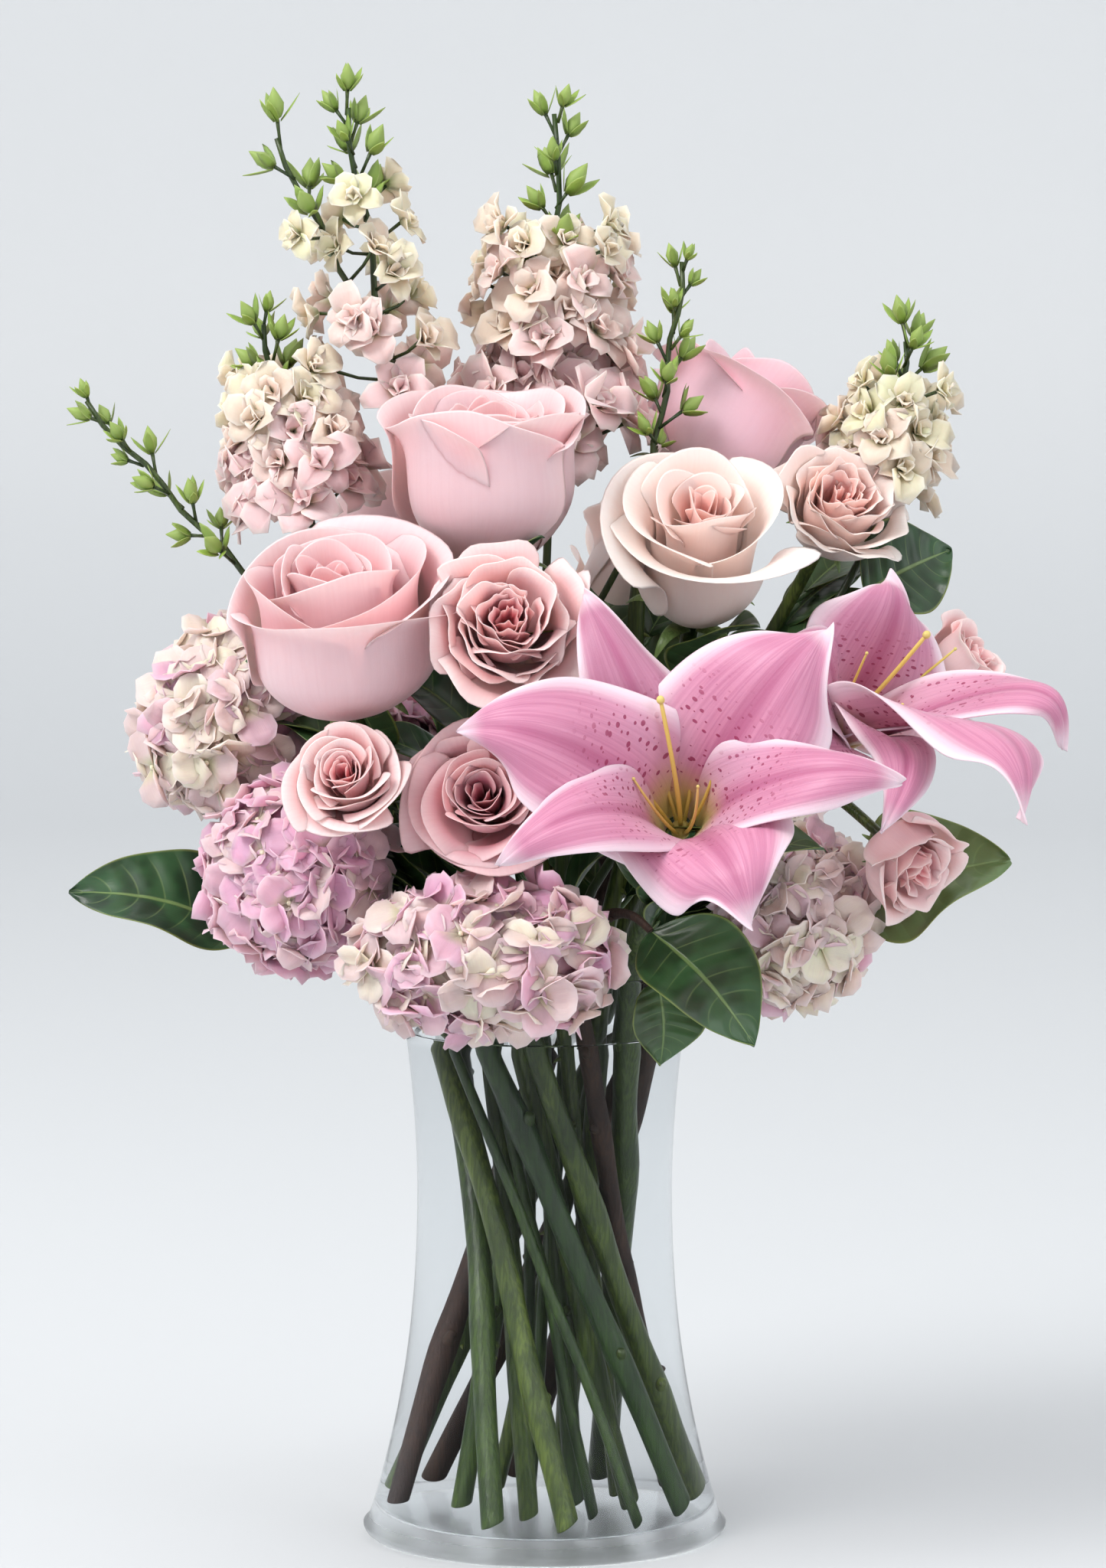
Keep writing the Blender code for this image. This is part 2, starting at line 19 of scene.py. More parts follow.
import bmesh
import bpy
from bmesh.types import BMesh, BMVert
from mathutils import Matrix, Vector, noise

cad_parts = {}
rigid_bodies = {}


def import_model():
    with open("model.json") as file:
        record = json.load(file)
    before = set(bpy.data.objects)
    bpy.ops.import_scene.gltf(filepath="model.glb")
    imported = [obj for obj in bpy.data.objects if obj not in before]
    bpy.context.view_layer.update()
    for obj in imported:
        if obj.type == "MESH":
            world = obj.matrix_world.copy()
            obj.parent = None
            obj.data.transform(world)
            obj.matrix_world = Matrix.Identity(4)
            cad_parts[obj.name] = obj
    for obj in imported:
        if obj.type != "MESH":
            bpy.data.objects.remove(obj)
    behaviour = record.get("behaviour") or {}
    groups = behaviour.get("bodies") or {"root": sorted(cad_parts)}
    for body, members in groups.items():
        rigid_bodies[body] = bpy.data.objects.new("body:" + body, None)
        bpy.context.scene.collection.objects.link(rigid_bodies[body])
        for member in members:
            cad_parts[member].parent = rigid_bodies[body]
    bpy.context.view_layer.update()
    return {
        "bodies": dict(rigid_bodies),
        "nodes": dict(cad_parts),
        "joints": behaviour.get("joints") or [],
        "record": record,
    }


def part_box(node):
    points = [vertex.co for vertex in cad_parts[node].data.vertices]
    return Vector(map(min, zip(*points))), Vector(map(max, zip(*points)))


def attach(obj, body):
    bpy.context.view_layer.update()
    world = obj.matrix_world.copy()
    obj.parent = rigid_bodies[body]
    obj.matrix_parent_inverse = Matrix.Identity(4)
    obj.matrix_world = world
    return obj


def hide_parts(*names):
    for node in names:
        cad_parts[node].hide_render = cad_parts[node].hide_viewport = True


LOG = logging.getLogger("bouquet")

Colour = tuple[float, float, float, float]
Form = Callable[[float, float], Vector]
Way = tuple[float, float]
Place = tuple[float, float, float]

UP = Vector((0, 0, 1))
GOLDEN_ANGLE = math.radians(137.508)
WELD = 1e-6
STAGE_WELD = 1e-5


class Slot(Enum):
    """The record's material slots."""

    GLASS = "clear_glass"
    WATER = "water"
    TWIGS = "woody_twigs"
    LEAVES = "leaves"
    STEMS = "stems"
    STAMENS = "stamens"
    LILY = "lily_petals"
    SPRAY_ROSE = "spray_rose_petals"
    PALE_ROSE = "pale_rose_petals"
    ROSE = "rose_petals"
    HYDRANGEA = "hydrangea_florets"
    LARKSPUR = "larkspur_florets"


# ---------------------------------------------------------------- places and shapes


def heading(azimuth: float, elevation: float = 0.0) -> Vector:
    """The unit vector of a way.

    Args:
        azimuth: degrees about the vase, with -90 at the front.
        elevation: degrees above the horizon.

    Returns:
        The unit vector.
    """
    a, e = math.radians(azimuth), math.radians(elevation)
    return Vector((math.cos(a) * math.cos(e), math.sin(a) * math.cos(e), math.sin(e)))


def facing(axis: Vector, roll: float = 0.0) -> Matrix:
    """A rotation that turns Z to an axis, with X level and Y upwards.

    Args:
        axis: the unit vector that Z turns to.
        roll: a further turn about the axis, in degrees.

    Returns:
        The rotation.
    """
    side = UP.cross(axis).normalized()
    turn = Matrix((side, axis.cross(side), axis)).transposed().to_4x4()
    return turn @ Matrix.Rotation(math.radians(roll), 4, "Z")


def around(angle: float) -> Vector:
    """The level unit vector at an angle in radians."""
    return Vector((math.cos(angle), math.sin(angle), 0))


def turned_to(way: Vector) -> Matrix:
    """A rotation that turns Z to a unit vector, with Y as near upwards as it can be."""
    return way.to_track_quat("Z", "Y").to_matrix().to_4x4()


def spin_profile(shape: BMesh, profile: Sequence[tuple[float, float]], facets: int) -> None:
    """Adds a surface spun about Z to a shape.

    Args:
        shape: the shape to add to.
        profile: its radius and height from one end to the other.
        facets: its faces round the axis.
    """
    verts = [shape.verts.new((radius, 0, height)) for radius, height in profile]
    edges = [shape.edges.new(pair) for pair in zip(verts, verts[1:])]
    turn = {"axis": UP, "cent": (0, 0, 0), "angle": math.tau}
    bmesh.ops.spin(shape, geom=verts + edges, steps=facets, use_merge=True, **turn)


def blend(low: float, high: float, share: float) -> float:
    """The number this share of the way from low to high."""
    return low + (high - low) * share


def smooth(value: float) -> float:
    """An eased step from 0 to 1 as the value goes from 0 to 1."""
    value = min(1.0, max(0.0, value))
    return value * value * (3 - 2 * value)


@dataclass(frozen=True)
class Stand:
    """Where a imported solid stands: its seat at the origin, Z along its way, and its own size."""

    place: Matrix
    size: Vector

    @property
    def seat(self) -> Vector:
        """The point where its stem meets it."""
        return self.place.translation

    @property
    def axis(self) -> Vector:
        """The unit vector that it faces along."""
        return self.place.to_3x3() @ UP


def stand(node: bpy.types.Object, way: Way, roll: float = 0.0) -> Stand:
    """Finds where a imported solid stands.

    Args:
        node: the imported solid.
        way: the way that it faces.
        roll: its turn about that way, in degrees.

    Returns:
        Its stand.
    """
    turn = facing(heading(*way), roll)
    points = [turn.transposed() @ vert.co for vert in node.data.vertices]
    low = Vector(min(point[i] for point in points) for i in range(3))
    high = Vector(max(point[i] for point in points) for i in range(3))
    seat = turn @ Vector(((low.x + high.x) / 2, (low.y + high.y) / 2, low.z))
    return Stand(Matrix.Translation(seat) @ turn, high - low)


class Bloom:
    """Petals, beads and tubes gathered in one shape, with the values that the finishes read.

    Each point carries ring, from 0 at a flower's heart or a shoot's foot to 1 outside or at its tip, and
    tone, which varies from one petal to the next. Each face carries the petal UV map: across and along it.
    """

    def __init__(self) -> None:
        """Starts an empty shape."""
        self.shape = bmesh.new()
        self.shape.loops.layers.uv.new("petal")
        self.ring = self.shape.verts.layers.float.new("ring")
        self.tone = self.shape.verts.layers.float.new("tone")
        self.finish = 0

    def mark(self, verts: Sequence[BMVert], ring: float, tone: float) -> None:
        """Gives new points their values, and their faces the finish in use."""
        for vert in verts:
            vert[self.ring] = ring
            vert[self.tone] = tone
            for face in vert.link_faces:
                face.material_index = self.finish

    def sheet(
        self,
        across: int,
        along: int,
        form: Form,
        place: Matrix,
        ring: float = 1.0,
        tone: float = 0.5,
    ) -> list[BMVert]:
        """Adds a grid bent to a form.

        Args:
            across: faces across it.
            along: faces along it.
            form: the point at s across, from -1 to 1, and t along, from 0 to 1.
            place: where it goes.
            ring: its ring value.
            tone: its tone value.

        Returns:
            Its points.
        """
        made = bmesh.ops.create_grid(
            self.shape, x_segments=across, y_segments=along, size=0.5, calc_uvs=True
        )
        for vert in made["verts"]:
            vert.co = place @ form(2 * vert.co.x, vert.co.y + 0.5)
        self.mark(made["verts"], ring, tone)
        return made["verts"]

    def thicken_only(self, verts: Sequence[BMVert], thickness: float) -> None:
        """Makes the sheet that these points span a closed shell of this thickness."""
        faces = list(dict.fromkeys(face for vert in verts for face in vert.link_faces))
        bmesh.ops.solidify(self.shape, geom=faces, thickness=thickness)

    def thicken(self, thickness: float) -> None:
        """Makes every sheet so far a closed shell of this thickness."""
        bmesh.ops.recalc_face_normals(self.shape, faces=self.shape.faces)
        bmesh.ops.solidify(self.shape, geom=self.shape.faces[:], thickness=thickness)

    def bead(
        self,
        centre: Vector,
        way: Vector,
        length: float,
        width: float,
        ring: float = 1.0,
        tone: float = 0.5,
        rounds: int = 1,
        point: float = 0.0,
    ) -> None:
        """Adds a rounded bud or knob.

        Args:
            centre: its middle.
            way: the unit vector along it.
            length: its length.
            width: its width.
            ring: its ring value.
            tone: its tone value.
            rounds: how finely it is divided.
            point: how far its tip is drawn to a point, from 0 to 1.
        """
        made = bmesh.ops.create_icosphere(self.shape, subdivisions=rounds, radius=0.5)
        turn = way.to_track_quat("Z", "Y").to_matrix()
        for vert in made["verts"]:
            spare = 1 - point * max(0.0, 2 * vert.co.z)
            local = Vector((vert.co.x * width * spare, vert.co.y * width * spare, vert.co.z * length))
            vert.co = centre + turn @ local
        self.mark(made["verts"], ring, tone)

    def tube(
        self,
        points: Sequence[Vector],
        radii: Sequence[float],
        sides: int = 8,
        ring: float = 0.0,
        tone: float = 0.5,
        slant: float = 0.0,
        is_crisp: bool = False,
    ) -> None:
        """Adds a round tube with closed ends.

        Args:
            points: its middle line.
            radii: its radius at each point.
            sides: its facets.
            ring: its ring value.
            tone: its tone value.
            slant: how far its first end is cut at a slant, as a share of its radius.
            is_crisp: whether its cut ends keep their edges when it is subdivided.
        """
        if is_crisp:
            ends = (points[0].lerp(points[1], 0.04), points[-1].lerp(points[-2], 0.04))
            points = [points[0], points[0], ends[0], *points[1:-1], ends[1], points[-1], points[-1]]
            first, last = radii[0], radii[-1]
            radii = [0.86 * first, first, first, *radii[1:-1], last, last, 0.86 * last]
        normals, way = [], points[-1] - points[0]
        normal = way.orthogonal().normalized()
        for i, _ in enumerate(points):
            onward = points[min(i + 2, len(points) - 1)] - points[max(i - 2, 0)]
            normal = way.rotation_difference(onward) @ normal
            way = onward
            normals.append((normal.normalized(), onward.normalized().cross(normal).normalized()))
        rows = len(points) + 1

        def form(s: float, t: float) -> Vector:
            """The point at s round the tube and t along it, closed to its middle at both ends."""
            row = round(t * rows)
            i = min(max(row - 1, 0), len(points) - 1)
            radius = 0 if row in (0, rows) else radii[i]
            angle = math.pi * (s + 1)
            first, second = normals[i]
            point = points[i] + (first * math.cos(angle) + second * math.sin(angle)) * radius
            if i > 2 or not slant:
                return point
            start = (points[3] - points[0]).normalized()
            return point + start * slant * (radii[1] + radius * math.cos(angle))

        self.sheet(sides, rows, form, Matrix.Identity(4), ring, tone)


def add_piece(
    name: str,
    bloom: Bloom,
    finishes: Sequence[bpy.types.Material],
    slot: Slot,
    stands_for: Sequence[str] = (),
    rounds: int = 0,
) -> bpy.types.Object:
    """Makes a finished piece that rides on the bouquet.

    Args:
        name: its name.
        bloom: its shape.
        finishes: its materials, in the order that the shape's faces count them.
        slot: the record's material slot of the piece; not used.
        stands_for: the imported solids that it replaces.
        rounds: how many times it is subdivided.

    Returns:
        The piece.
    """
    shape = bloom.shape
    bmesh.ops.remove_doubles(shape, verts=shape.verts, dist=WELD)
    bmesh.ops.recalc_face_normals(shape, faces=shape.faces)
    mesh = bpy.data.meshes.new(name)
    shape.to_mesh(mesh)
    shape.free()
    mesh.shade_smooth()
    piece = bpy.data.objects.new(name, mesh)
    bpy.context.scene.collection.objects.link(piece)
    for finish in finishes:
        mesh.materials.append(finish)
    if rounds:
        soften = piece.modifiers.new("soften", "SUBSURF")
        soften.levels = soften.render_levels = rounds
    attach(piece, "root")
    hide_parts(*stands_for)
    LOG.info("%s: %d faces", name, len(mesh.polygons))
    return piece


# ---------------------------------------------------------------- finishes


def colour(code: str) -> Colour:
    """The linear colour of a six-digit display code."""
    parts = [int(code[i : i + 2], 16) / 255 for i in (0, 2, 4)]
    linear = [c / 12.92 if c <= 0.04045 else ((c + 0.055) / 1.055) ** 2.4 for c in parts]
    return (*linear, 1.0)


class Graph:
    """A node tree, with short ways to add the nodes that the finishes use."""

    def __init__(self, tree: bpy.types.NodeTree) -> None:
        """Works on this tree."""
        self.tree = tree

    def add(self, kind: str, inputs: dict | None = None, **settings: object) -> bpy.types.Node:
        """Adds a node.

        Args:
            kind: its type.
            inputs: a value, or a socket to link, for each named or numbered input.
            settings: its other settings.

        Returns:
            The node.
        """
        node = self.tree.nodes.new(kind)
        for name, value in settings.items():
            setattr(node, name, value)
        for name, value in (inputs or {}).items():
            if isinstance(value, bpy.types.NodeSocket):
                self.tree.links.new(value, node.inputs[name])
            else:
                node.inputs[name].default_value = value
        return node

    def group(self, name: str, inputs: dict) -> bpy.types.NodeOutputs:
        """The outputs of a node group that is fed these inputs."""
        return self.add("ShaderNodeGroup", inputs, node_tree=bpy.data.node_groups[name]).outputs

    def link(self, sockets: dict, node: bpy.types.Node) -> None:
        """Links a socket to each named input of a node."""
        for name, socket in sockets.items():
            self.tree.links.new(socket, node.inputs[name])

    def split(self, vector: object, index: int) -> bpy.types.NodeSocket:
        """One of a vector's three parts, counted from 0."""
        return self.add("ShaderNodeSeparateXYZ", {0: vector}).outputs[index]

    def maths(self, operation: str, *values: object) -> bpy.types.NodeSocket:
        """One sum on numbers or sockets."""
        return self.add("ShaderNodeMath", dict(enumerate(values)), operation=operation).outputs[0]

    def mix(self, mask: object, first: object, second: object) -> bpy.types.NodeSocket:
        """The second colour over the first where the mask is 1."""
        inputs = {0: mask, 6: first, 7: second}
        return self.add("ShaderNodeMix", inputs, data_type="RGBA").outputs[2]

    def layer(self, tint: object, mask: object, share: float, code: str) -> bpy.types.NodeSocket:
        """A tint with this share of a display code's colour laid over it where the mask is 1."""
        return self.mix(self.maths("MULTIPLY", mask, share), tint, colour(code))

    def step(self, value: object, low: float, high: float) -> bpy.types.NodeSocket:
        """A mask that eases from 0 where the value is low to 1 where it is high."""
        inputs = {"Value": value, "From Min": low, "From Max": high}
        node = self.add("ShaderNodeMapRange", inputs, interpolation_type="SMOOTHSTEP")
        return node.outputs["Result"]

    def clouds(
        self, vector: object, stretch: tuple[float, float, float], detail: float = 2.0
    ) -> bpy.types.NodeSocket:
        """Soft noise, repeated stretch times a unit along each axis."""
        scaled = self.add("ShaderNodeMapping", {"Vector": vector, "Scale": stretch}).outputs[0]
        inputs = {"Vector": scaled, "Scale": 1.0, "Detail": detail}
        return self.add("ShaderNodeTexNoise", inputs).outputs[0]


def make_group(
    name: str, inputs: dict[str, str], outputs: dict[str, str]
) -> tuple[Graph, bpy.types.Node, bpy.types.Node]:
    """Starts a node group.

    Args:
        name: its name.
        inputs: the socket type of each input, by name.
        outputs: the socket type of each output, by name.

    Returns:
        Its graph, its input node and its output node.
    """
    tree = bpy.data.node_groups.new(name, "ShaderNodeTree")
    for socket, kind in inputs.items():
        tree.interface.new_socket(name=socket, in_out="INPUT", socket_type=kind)
    for socket, kind in outputs.items():
        tree.interface.new_socket(name=socket, in_out="OUTPUT", socket_type=kind)
    graph = Graph(tree)
    return graph, graph.add("NodeGroupInput"), graph.add("NodeGroupOutput")


FLOAT, VECTOR = "NodeSocketFloat", "NodeSocketVector"


def petal_pattern() -> bpy.types.NodeTree:
    """The group that finds a petal's rim, foot, veins and mottling, and the height of its surface."""
    sockets = dict.fromkeys(("Edge", "Rim", "Foot", "Veins", "Mottle", "Height"), FLOAT)
    graph, given, result = make_group("petal_pattern", {"Petal": VECTOR, "Place": VECTOR}, sockets)
    petal, place = given.outputs["Petal"], given.outputs["Place"]
    edge = graph.maths("ABSOLUTE", graph.maths("MULTIPLY_ADD", graph.split(petal, 0), 2.0, -1.0))
    along = graph.split(petal, 1)
    veins = graph.clouds(petal, (46, 2.2, 1), 3)
    fine = graph.clouds(place, (900, 900, 900), 2)
    coarse = graph.clouds(place, (70, 70, 70), 2)
    found = {
        "Edge": edge,
        "Rim": graph.maths("MAXIMUM", graph.step(edge, 0.72, 1.0), graph.step(along, 0.80, 1.0)),
        "Foot": graph.step(along, 0.42, 0.0),
        "Veins": graph.step(veins, 0.36, 0.64),
        "Mottle": graph.step(coarse, 0.35, 0.65),
        "Height": graph.maths("MULTIPLY_ADD", fine, 0.35, veins),
    }
    graph.link(found, result)
    return graph.tree


def speckle() -> bpy.types.NodeTree:
    """The group that scatters small round freckles over a petal, of many sizes."""
    graph, given, result = make_group(
        "speckle", {"Petal": VECTOR, "Across": FLOAT, "Along": FLOAT}, {"Freckles": FLOAT}
    )
    counts = {0: given.outputs["Across"], 1: given.outputs["Along"]}
    scale = graph.add("ShaderNodeCombineXYZ", counts).outputs[0]
    factors = {0: given.outputs["Petal"], 1: scale}
    vector = graph.add("ShaderNodeVectorMath", factors, operation="MULTIPLY").outputs[0]
    cells = graph.add("ShaderNodeTexVoronoi", {"Vector": vector, "Scale": 1.0}, voronoi_dimensions="2D")
    size = graph.maths("MULTIPLY", graph.split(cells.outputs["Color"], 0), 0.30)
    dots = graph.step(graph.maths("SUBTRACT", size, cells.outputs["Distance"]), 0.0, 0.05)
    graph.link({"Freckles": dots}, result)
    return graph.tree


def grain() -> bpy.types.NodeTree:
    """The group of long fibres and patches on stems and bark, which run up and down."""
    graph, given, result = make_group("grain", {"Place": VECTOR}, {"Fibres": FLOAT, "Patches": FLOAT})
    place = given.outputs["Place"]
    fibres = graph.clouds(place, (1100, 1100, 45), 3)
    patches = graph.step(graph.clouds(place, (90, 90, 26), 3), 0.38, 0.62)
    graph.link({"Fibres": fibres, "Patches": patches}, result)
    return graph.tree


@dataclass(frozen=True)
class Surface:
    """How a surface shines: the values that are the same all over it."""

    roughness: float = 0.5
    subsurface: float = 0.0
    sheen: float = 0.0
    coat: float = 0.0
    bump: float = 0.3
    bump_height: float = 0.0004

    def start(self, name: str) -> tuple[bpy.types.Material, Graph, bpy.types.Node]:
        """Starts a material.

        Args:
            name: its name.

        Returns:
            The material, its graph and its shader.
        """
        made = bpy.data.materials.new(name)
        made.use_nodes = True
        shader = made.node_tree.nodes["Principled BSDF"]
        values = {
            "Roughness": self.roughness,
            "Subsurface Weight": self.subsurface,
            "Subsurface Scale": 0.004,
            "Subsurface Radius": (1.0, 0.6, 0.5),
            "Sheen Weight": self.sheen,
            "Sheen Roughness": 0.4,
            "Coat Weight": self.coat,
            "Coat Roughness": 0.2,
            "IOR": 1.42,
        }
        for name_of_input, value in values.items():
            shader.inputs[name_of_input].default_value = value
        return made, Graph(made.node_tree), shader

    def finish(self, graph: Graph, shader: bpy.types.Node, tint: object, height: object) -> None:
        """Links a colour and a height to the shader.

        Args:
            graph: the material's graph.
            shader: its shader.
            tint: the colour's socket.
            height: the height's socket.
        """
        inputs = {"Height": height, "Strength": self.bump, "Distance": self.bump_height}
        bump = graph.add("ShaderNodeBump", inputs)
        graph.link({"Base Color": tint, "Normal": bump.outputs["Normal"]}, shader)


def readings(graph: Graph) -> tuple[bpy.types.NodeSocket, ...]:
    """The sockets that give a point's petal UV, its place, its ring and its tone."""
    petal = graph.add("ShaderNodeUVMap", uv_map="petal").outputs[0]
    place = graph.add("ShaderNodeTexCoord").outputs["Object"]
    ring = graph.add("ShaderNodeAttribute", attribute_name="ring").outputs["Fac"]
    tone = graph.add("ShaderNodeAttribute", attribute_name="tone").outputs["Fac"]
    return petal, place, ring, tone


@dataclass(frozen=True)
class PetalFinish:
    """Velvety petals, whose colour goes from the heart to the body and pales to the rim."""

    name: str
    heart: str
    body: str
    rim: str
    foot: str
    shade: str
    rim_share: float = 0.42
    foot_share: float = 0.6
    vein_share: float = 0.09
    tone_share: float = 0.35
    heart_reach: float = 0.6
    surface: Surface = Surface(roughness=0.5, subsurface=0.4, sheen=0.15, bump=0.22)

    def make(self) -> bpy.types.Material:
        """Builds the material."""
        made, graph, shader = self.surface.start(self.name)
        petal, place, ring, tone = readings(graph)
        out = graph.group("petal_pattern", {"Petal": petal, "Place": place})
        tint = graph.mix(graph.step(ring, 0.0, self.heart_reach), colour(self.heart), colour(self.body))
        tint = graph.layer(tint, tone, self.tone_share, self.shade)
        tint = graph.layer(tint, out["Foot"], self.foot_share, self.foot)
        tint = graph.layer(tint, out["Rim"], self.rim_share, self.rim)
        streaks = graph.maths("MULTIPLY", out["Veins"], self.vein_share)
        patches = graph.maths("MULTIPLY_ADD", out["Mottle"], self.vein_share * 0.6, streaks)
        tint = graph.mix(patches, tint, colour(self.shade))
        self.surface.finish(graph, shader, tint, out["Height"])
        return made


@dataclass(frozen=True)
class LilyFinish:
    """A lily's tepals: mauve pink with a deeper rib, white margins, a gold throat, crimson freckles and
    painted shade on chosen tepals.
    """

    name: str = "lily_petals"
    body: str = "cf8ca9"
    rib: str = "a8587e"
    margin: str = "f6e2ea"
    throat: str = "d8c878"
    halo: str = "e4bccf"
    freckle: str = "8c2450"
    painted_shade: str = "9c6680"
    freckles_across: float = 13.0
    freckles_along: float = 36.0
    surface: Surface = Surface(roughness=0.42, subsurface=0.25, sheen=0.15, bump=0.35, bump_height=0.0006)

    def make(self) -> bpy.types.Material:
        """Builds the material."""
        made, graph, shader = self.surface.start(self.name)
        petal, place, _, tone = readings(graph)
        out = graph.group("petal_pattern", {"Petal": petal, "Place": place})
        speckles = {"Petal": petal, "Across": self.freckles_across, "Along": self.freckles_along}
        dots = graph.group("speckle", speckles)["Freckles"]
        along = graph.split(petal, 1)
        edge = out["Edge"]
        tint = graph.layer(colour(self.body), out["Veins"], 0.40, self.rib)
        # Painted shade: each tepal's tone darkens it towards a shaded copy of the body colour.
        tint = graph.layer(tint, tone, 0.55, self.painted_shade)
        halo = graph.maths("MULTIPLY", graph.step(along, 0.55, 0.22), graph.step(edge, 0.1, 0.5))
        tint = graph.layer(tint, halo, 0.5, self.halo)
        rib = graph.maths("MULTIPLY", graph.step(edge, 0.20, 0.02), graph.step(along, 1.0, 0.7))
        tint = graph.layer(tint, rib, 0.65, self.rib)
        margin = graph.maths("MAXIMUM", graph.step(edge, 0.70, 0.98), graph.step(along, 0.88, 1.0))
        tint = graph.layer(tint, margin, 0.75, self.margin)
        throat = graph.maths("MULTIPLY", graph.step(along, 0.26, 0.04), graph.step(edge, 1.0, 0.3))
        tint = graph.mix(throat, tint, colour(self.throat))
        lower = graph.maths("MULTIPLY", graph.step(along, 0.10, 0.18), graph.step(along, 0.62, 0.40))
        inner = graph.maths("MULTIPLY", lower, graph.step(edge, 0.92, 0.65))
        freckles = graph.maths("MULTIPLY", dots, inner)
        tint = graph.layer(tint, freckles, 0.85, self.freckle)
        height = graph.maths("MULTIPLY_ADD", freckles, 1.2, out["Height"])
        self.surface.finish(graph, shader, tint, height)
        return made


@dataclass(frozen=True)
class LeafFinish:
    """A glossy leaf with a pale midrib, side veins that sweep to its tip, and a paler edge."""

    name: str = "leaves"
    blade: str = "2c5230"
    dark: str = "16301c"
    vein: str = "7f9a5c"
    edge: str = "8c9a4c"
    vein_pairs: float = 7.0
    surface: Surface = Surface(roughness=0.36, subsurface=0.05, coat=0.25, bump=0.5, bump_height=0.0006)

    def make(self) -> bpy.types.Material:
        """Builds the material."""
        made, graph, shader = self.surface.start(self.name)
        petal, place, _, tone = readings(graph)
        out = graph.group("petal_pattern", {"Petal": petal, "Place": place})
        along = graph.split(petal, 1)
        edge = out["Edge"]
        sweep = graph.maths("MULTIPLY_ADD", graph.maths("POWER", edge, 1.4), -0.16, along)
        wave = graph.maths("FRACT", graph.maths("MULTIPLY", sweep, self.vein_pairs))
        near = graph.maths("ABSOLUTE", graph.maths("SUBTRACT", wave, 0.5))
        side_veins = graph.maths("MULTIPLY", graph.step(near, 0.06, 0.0), graph.step(edge, 0.95, 0.5))
        midrib = graph.step(edge, 0.055, 0.02)
        veins = graph.maths("MAXIMUM", midrib, graph.maths("MULTIPLY", side_veins, 0.45))
        tint = graph.mix(out["Mottle"], colour(self.blade), colour(self.dark))
        tint = graph.layer(tint, tone, 0.5, self.vein)
        tint = graph.layer(tint, veins, 0.6, self.vein)
        tint = graph.layer(tint, graph.step(edge, 0.93, 1.0), 0.6, self.edge)
        swell = graph.maths("MULTIPLY", graph.maths("SINE", graph.maths("MULTIPLY", near, math.pi)), 0.7)
        height = graph.maths("SUBTRACT", swell, midrib)
        height = graph.maths("MULTIPLY_ADD", out["Height"], 0.15, height)
        self.surface.finish(graph, shader, tint, height)
        return made


@dataclass(frozen=True)
class StemFinish:
    """Fibrous green stems or bark, with patches of a second colour and a tone for each stem."""

    name: str = "stems"
    skin: str = "233f1c"
    patch: str = "172b13"
    other: str = "727f36"
    fibre: str = "121e10"
    surface: Surface = Surface(roughness=0.38, subsurface=0.02, coat=0.15, bump=0.7, bump_height=0.0005)

    def make(self) -> bpy.types.Material:
        """Builds the material."""
        made, graph, shader = self.surface.start(self.name)
        _, place, _, tone = readings(graph)
        out = graph.group("grain", {"Place": place})
        tint = graph.mix(tone, colour(self.skin), colour(self.other))
        tint = graph.layer(tint, out["Patches"], 0.6, self.patch)
        tint = graph.layer(tint, graph.step(out["Fibres"], 0.38, 0.60), 0.5, self.fibre)
        height = graph.maths("MULTIPLY_ADD", out["Patches"], 0.5, out["Fibres"])
        self.surface.finish(graph, shader, tint, height)
        return made


@dataclass(frozen=True)
class ClearFinish:
    """Clear glass or water, which lets lamps through to what stands inside it."""

    name: str
    tint: str
    bend: float
    ripple: float
    frost: float = 0.0
    frost_to: float = 0.012

    def make(self) -> bpy.types.Material:
        """Builds the material."""
        surface = Surface(roughness=0.0, bump=self.ripple, bump_height=0.0008)
        made, graph, shader = surface.start(self.name)
        shader.inputs["Transmission Weight"].default_value = 1.0
        shader.inputs["IOR"].default_value = self.bend
        place = graph.add("ShaderNodeTexCoord").outputs["Object"]
        low = graph.step(graph.split(place, 2), self.frost_to, 0.4 * self.frost_to)
        graph.link({"Roughness": graph.maths("MULTIPLY", low, self.frost)}, shader)
        waves = graph.clouds(place, (30, 30, 12), 1)
        surface.finish(graph, shader, graph.layer(colour(self.tint), waves, 0.15, "ffffff"), waves)
        lamp_ray = graph.add("ShaderNodeLightPath").outputs["Is Shadow Ray"]
        through = graph.add("ShaderNodeBsdfTransparent", {"Color": colour(self.tint)}).outputs[0]
        either = graph.add("ShaderNodeMixShader", {0: lamp_ray, 1: shader.outputs[0], 2: through})
        graph.link({"Surface": either.outputs[0]}, made.node_tree.nodes["Material Output"])
        return made


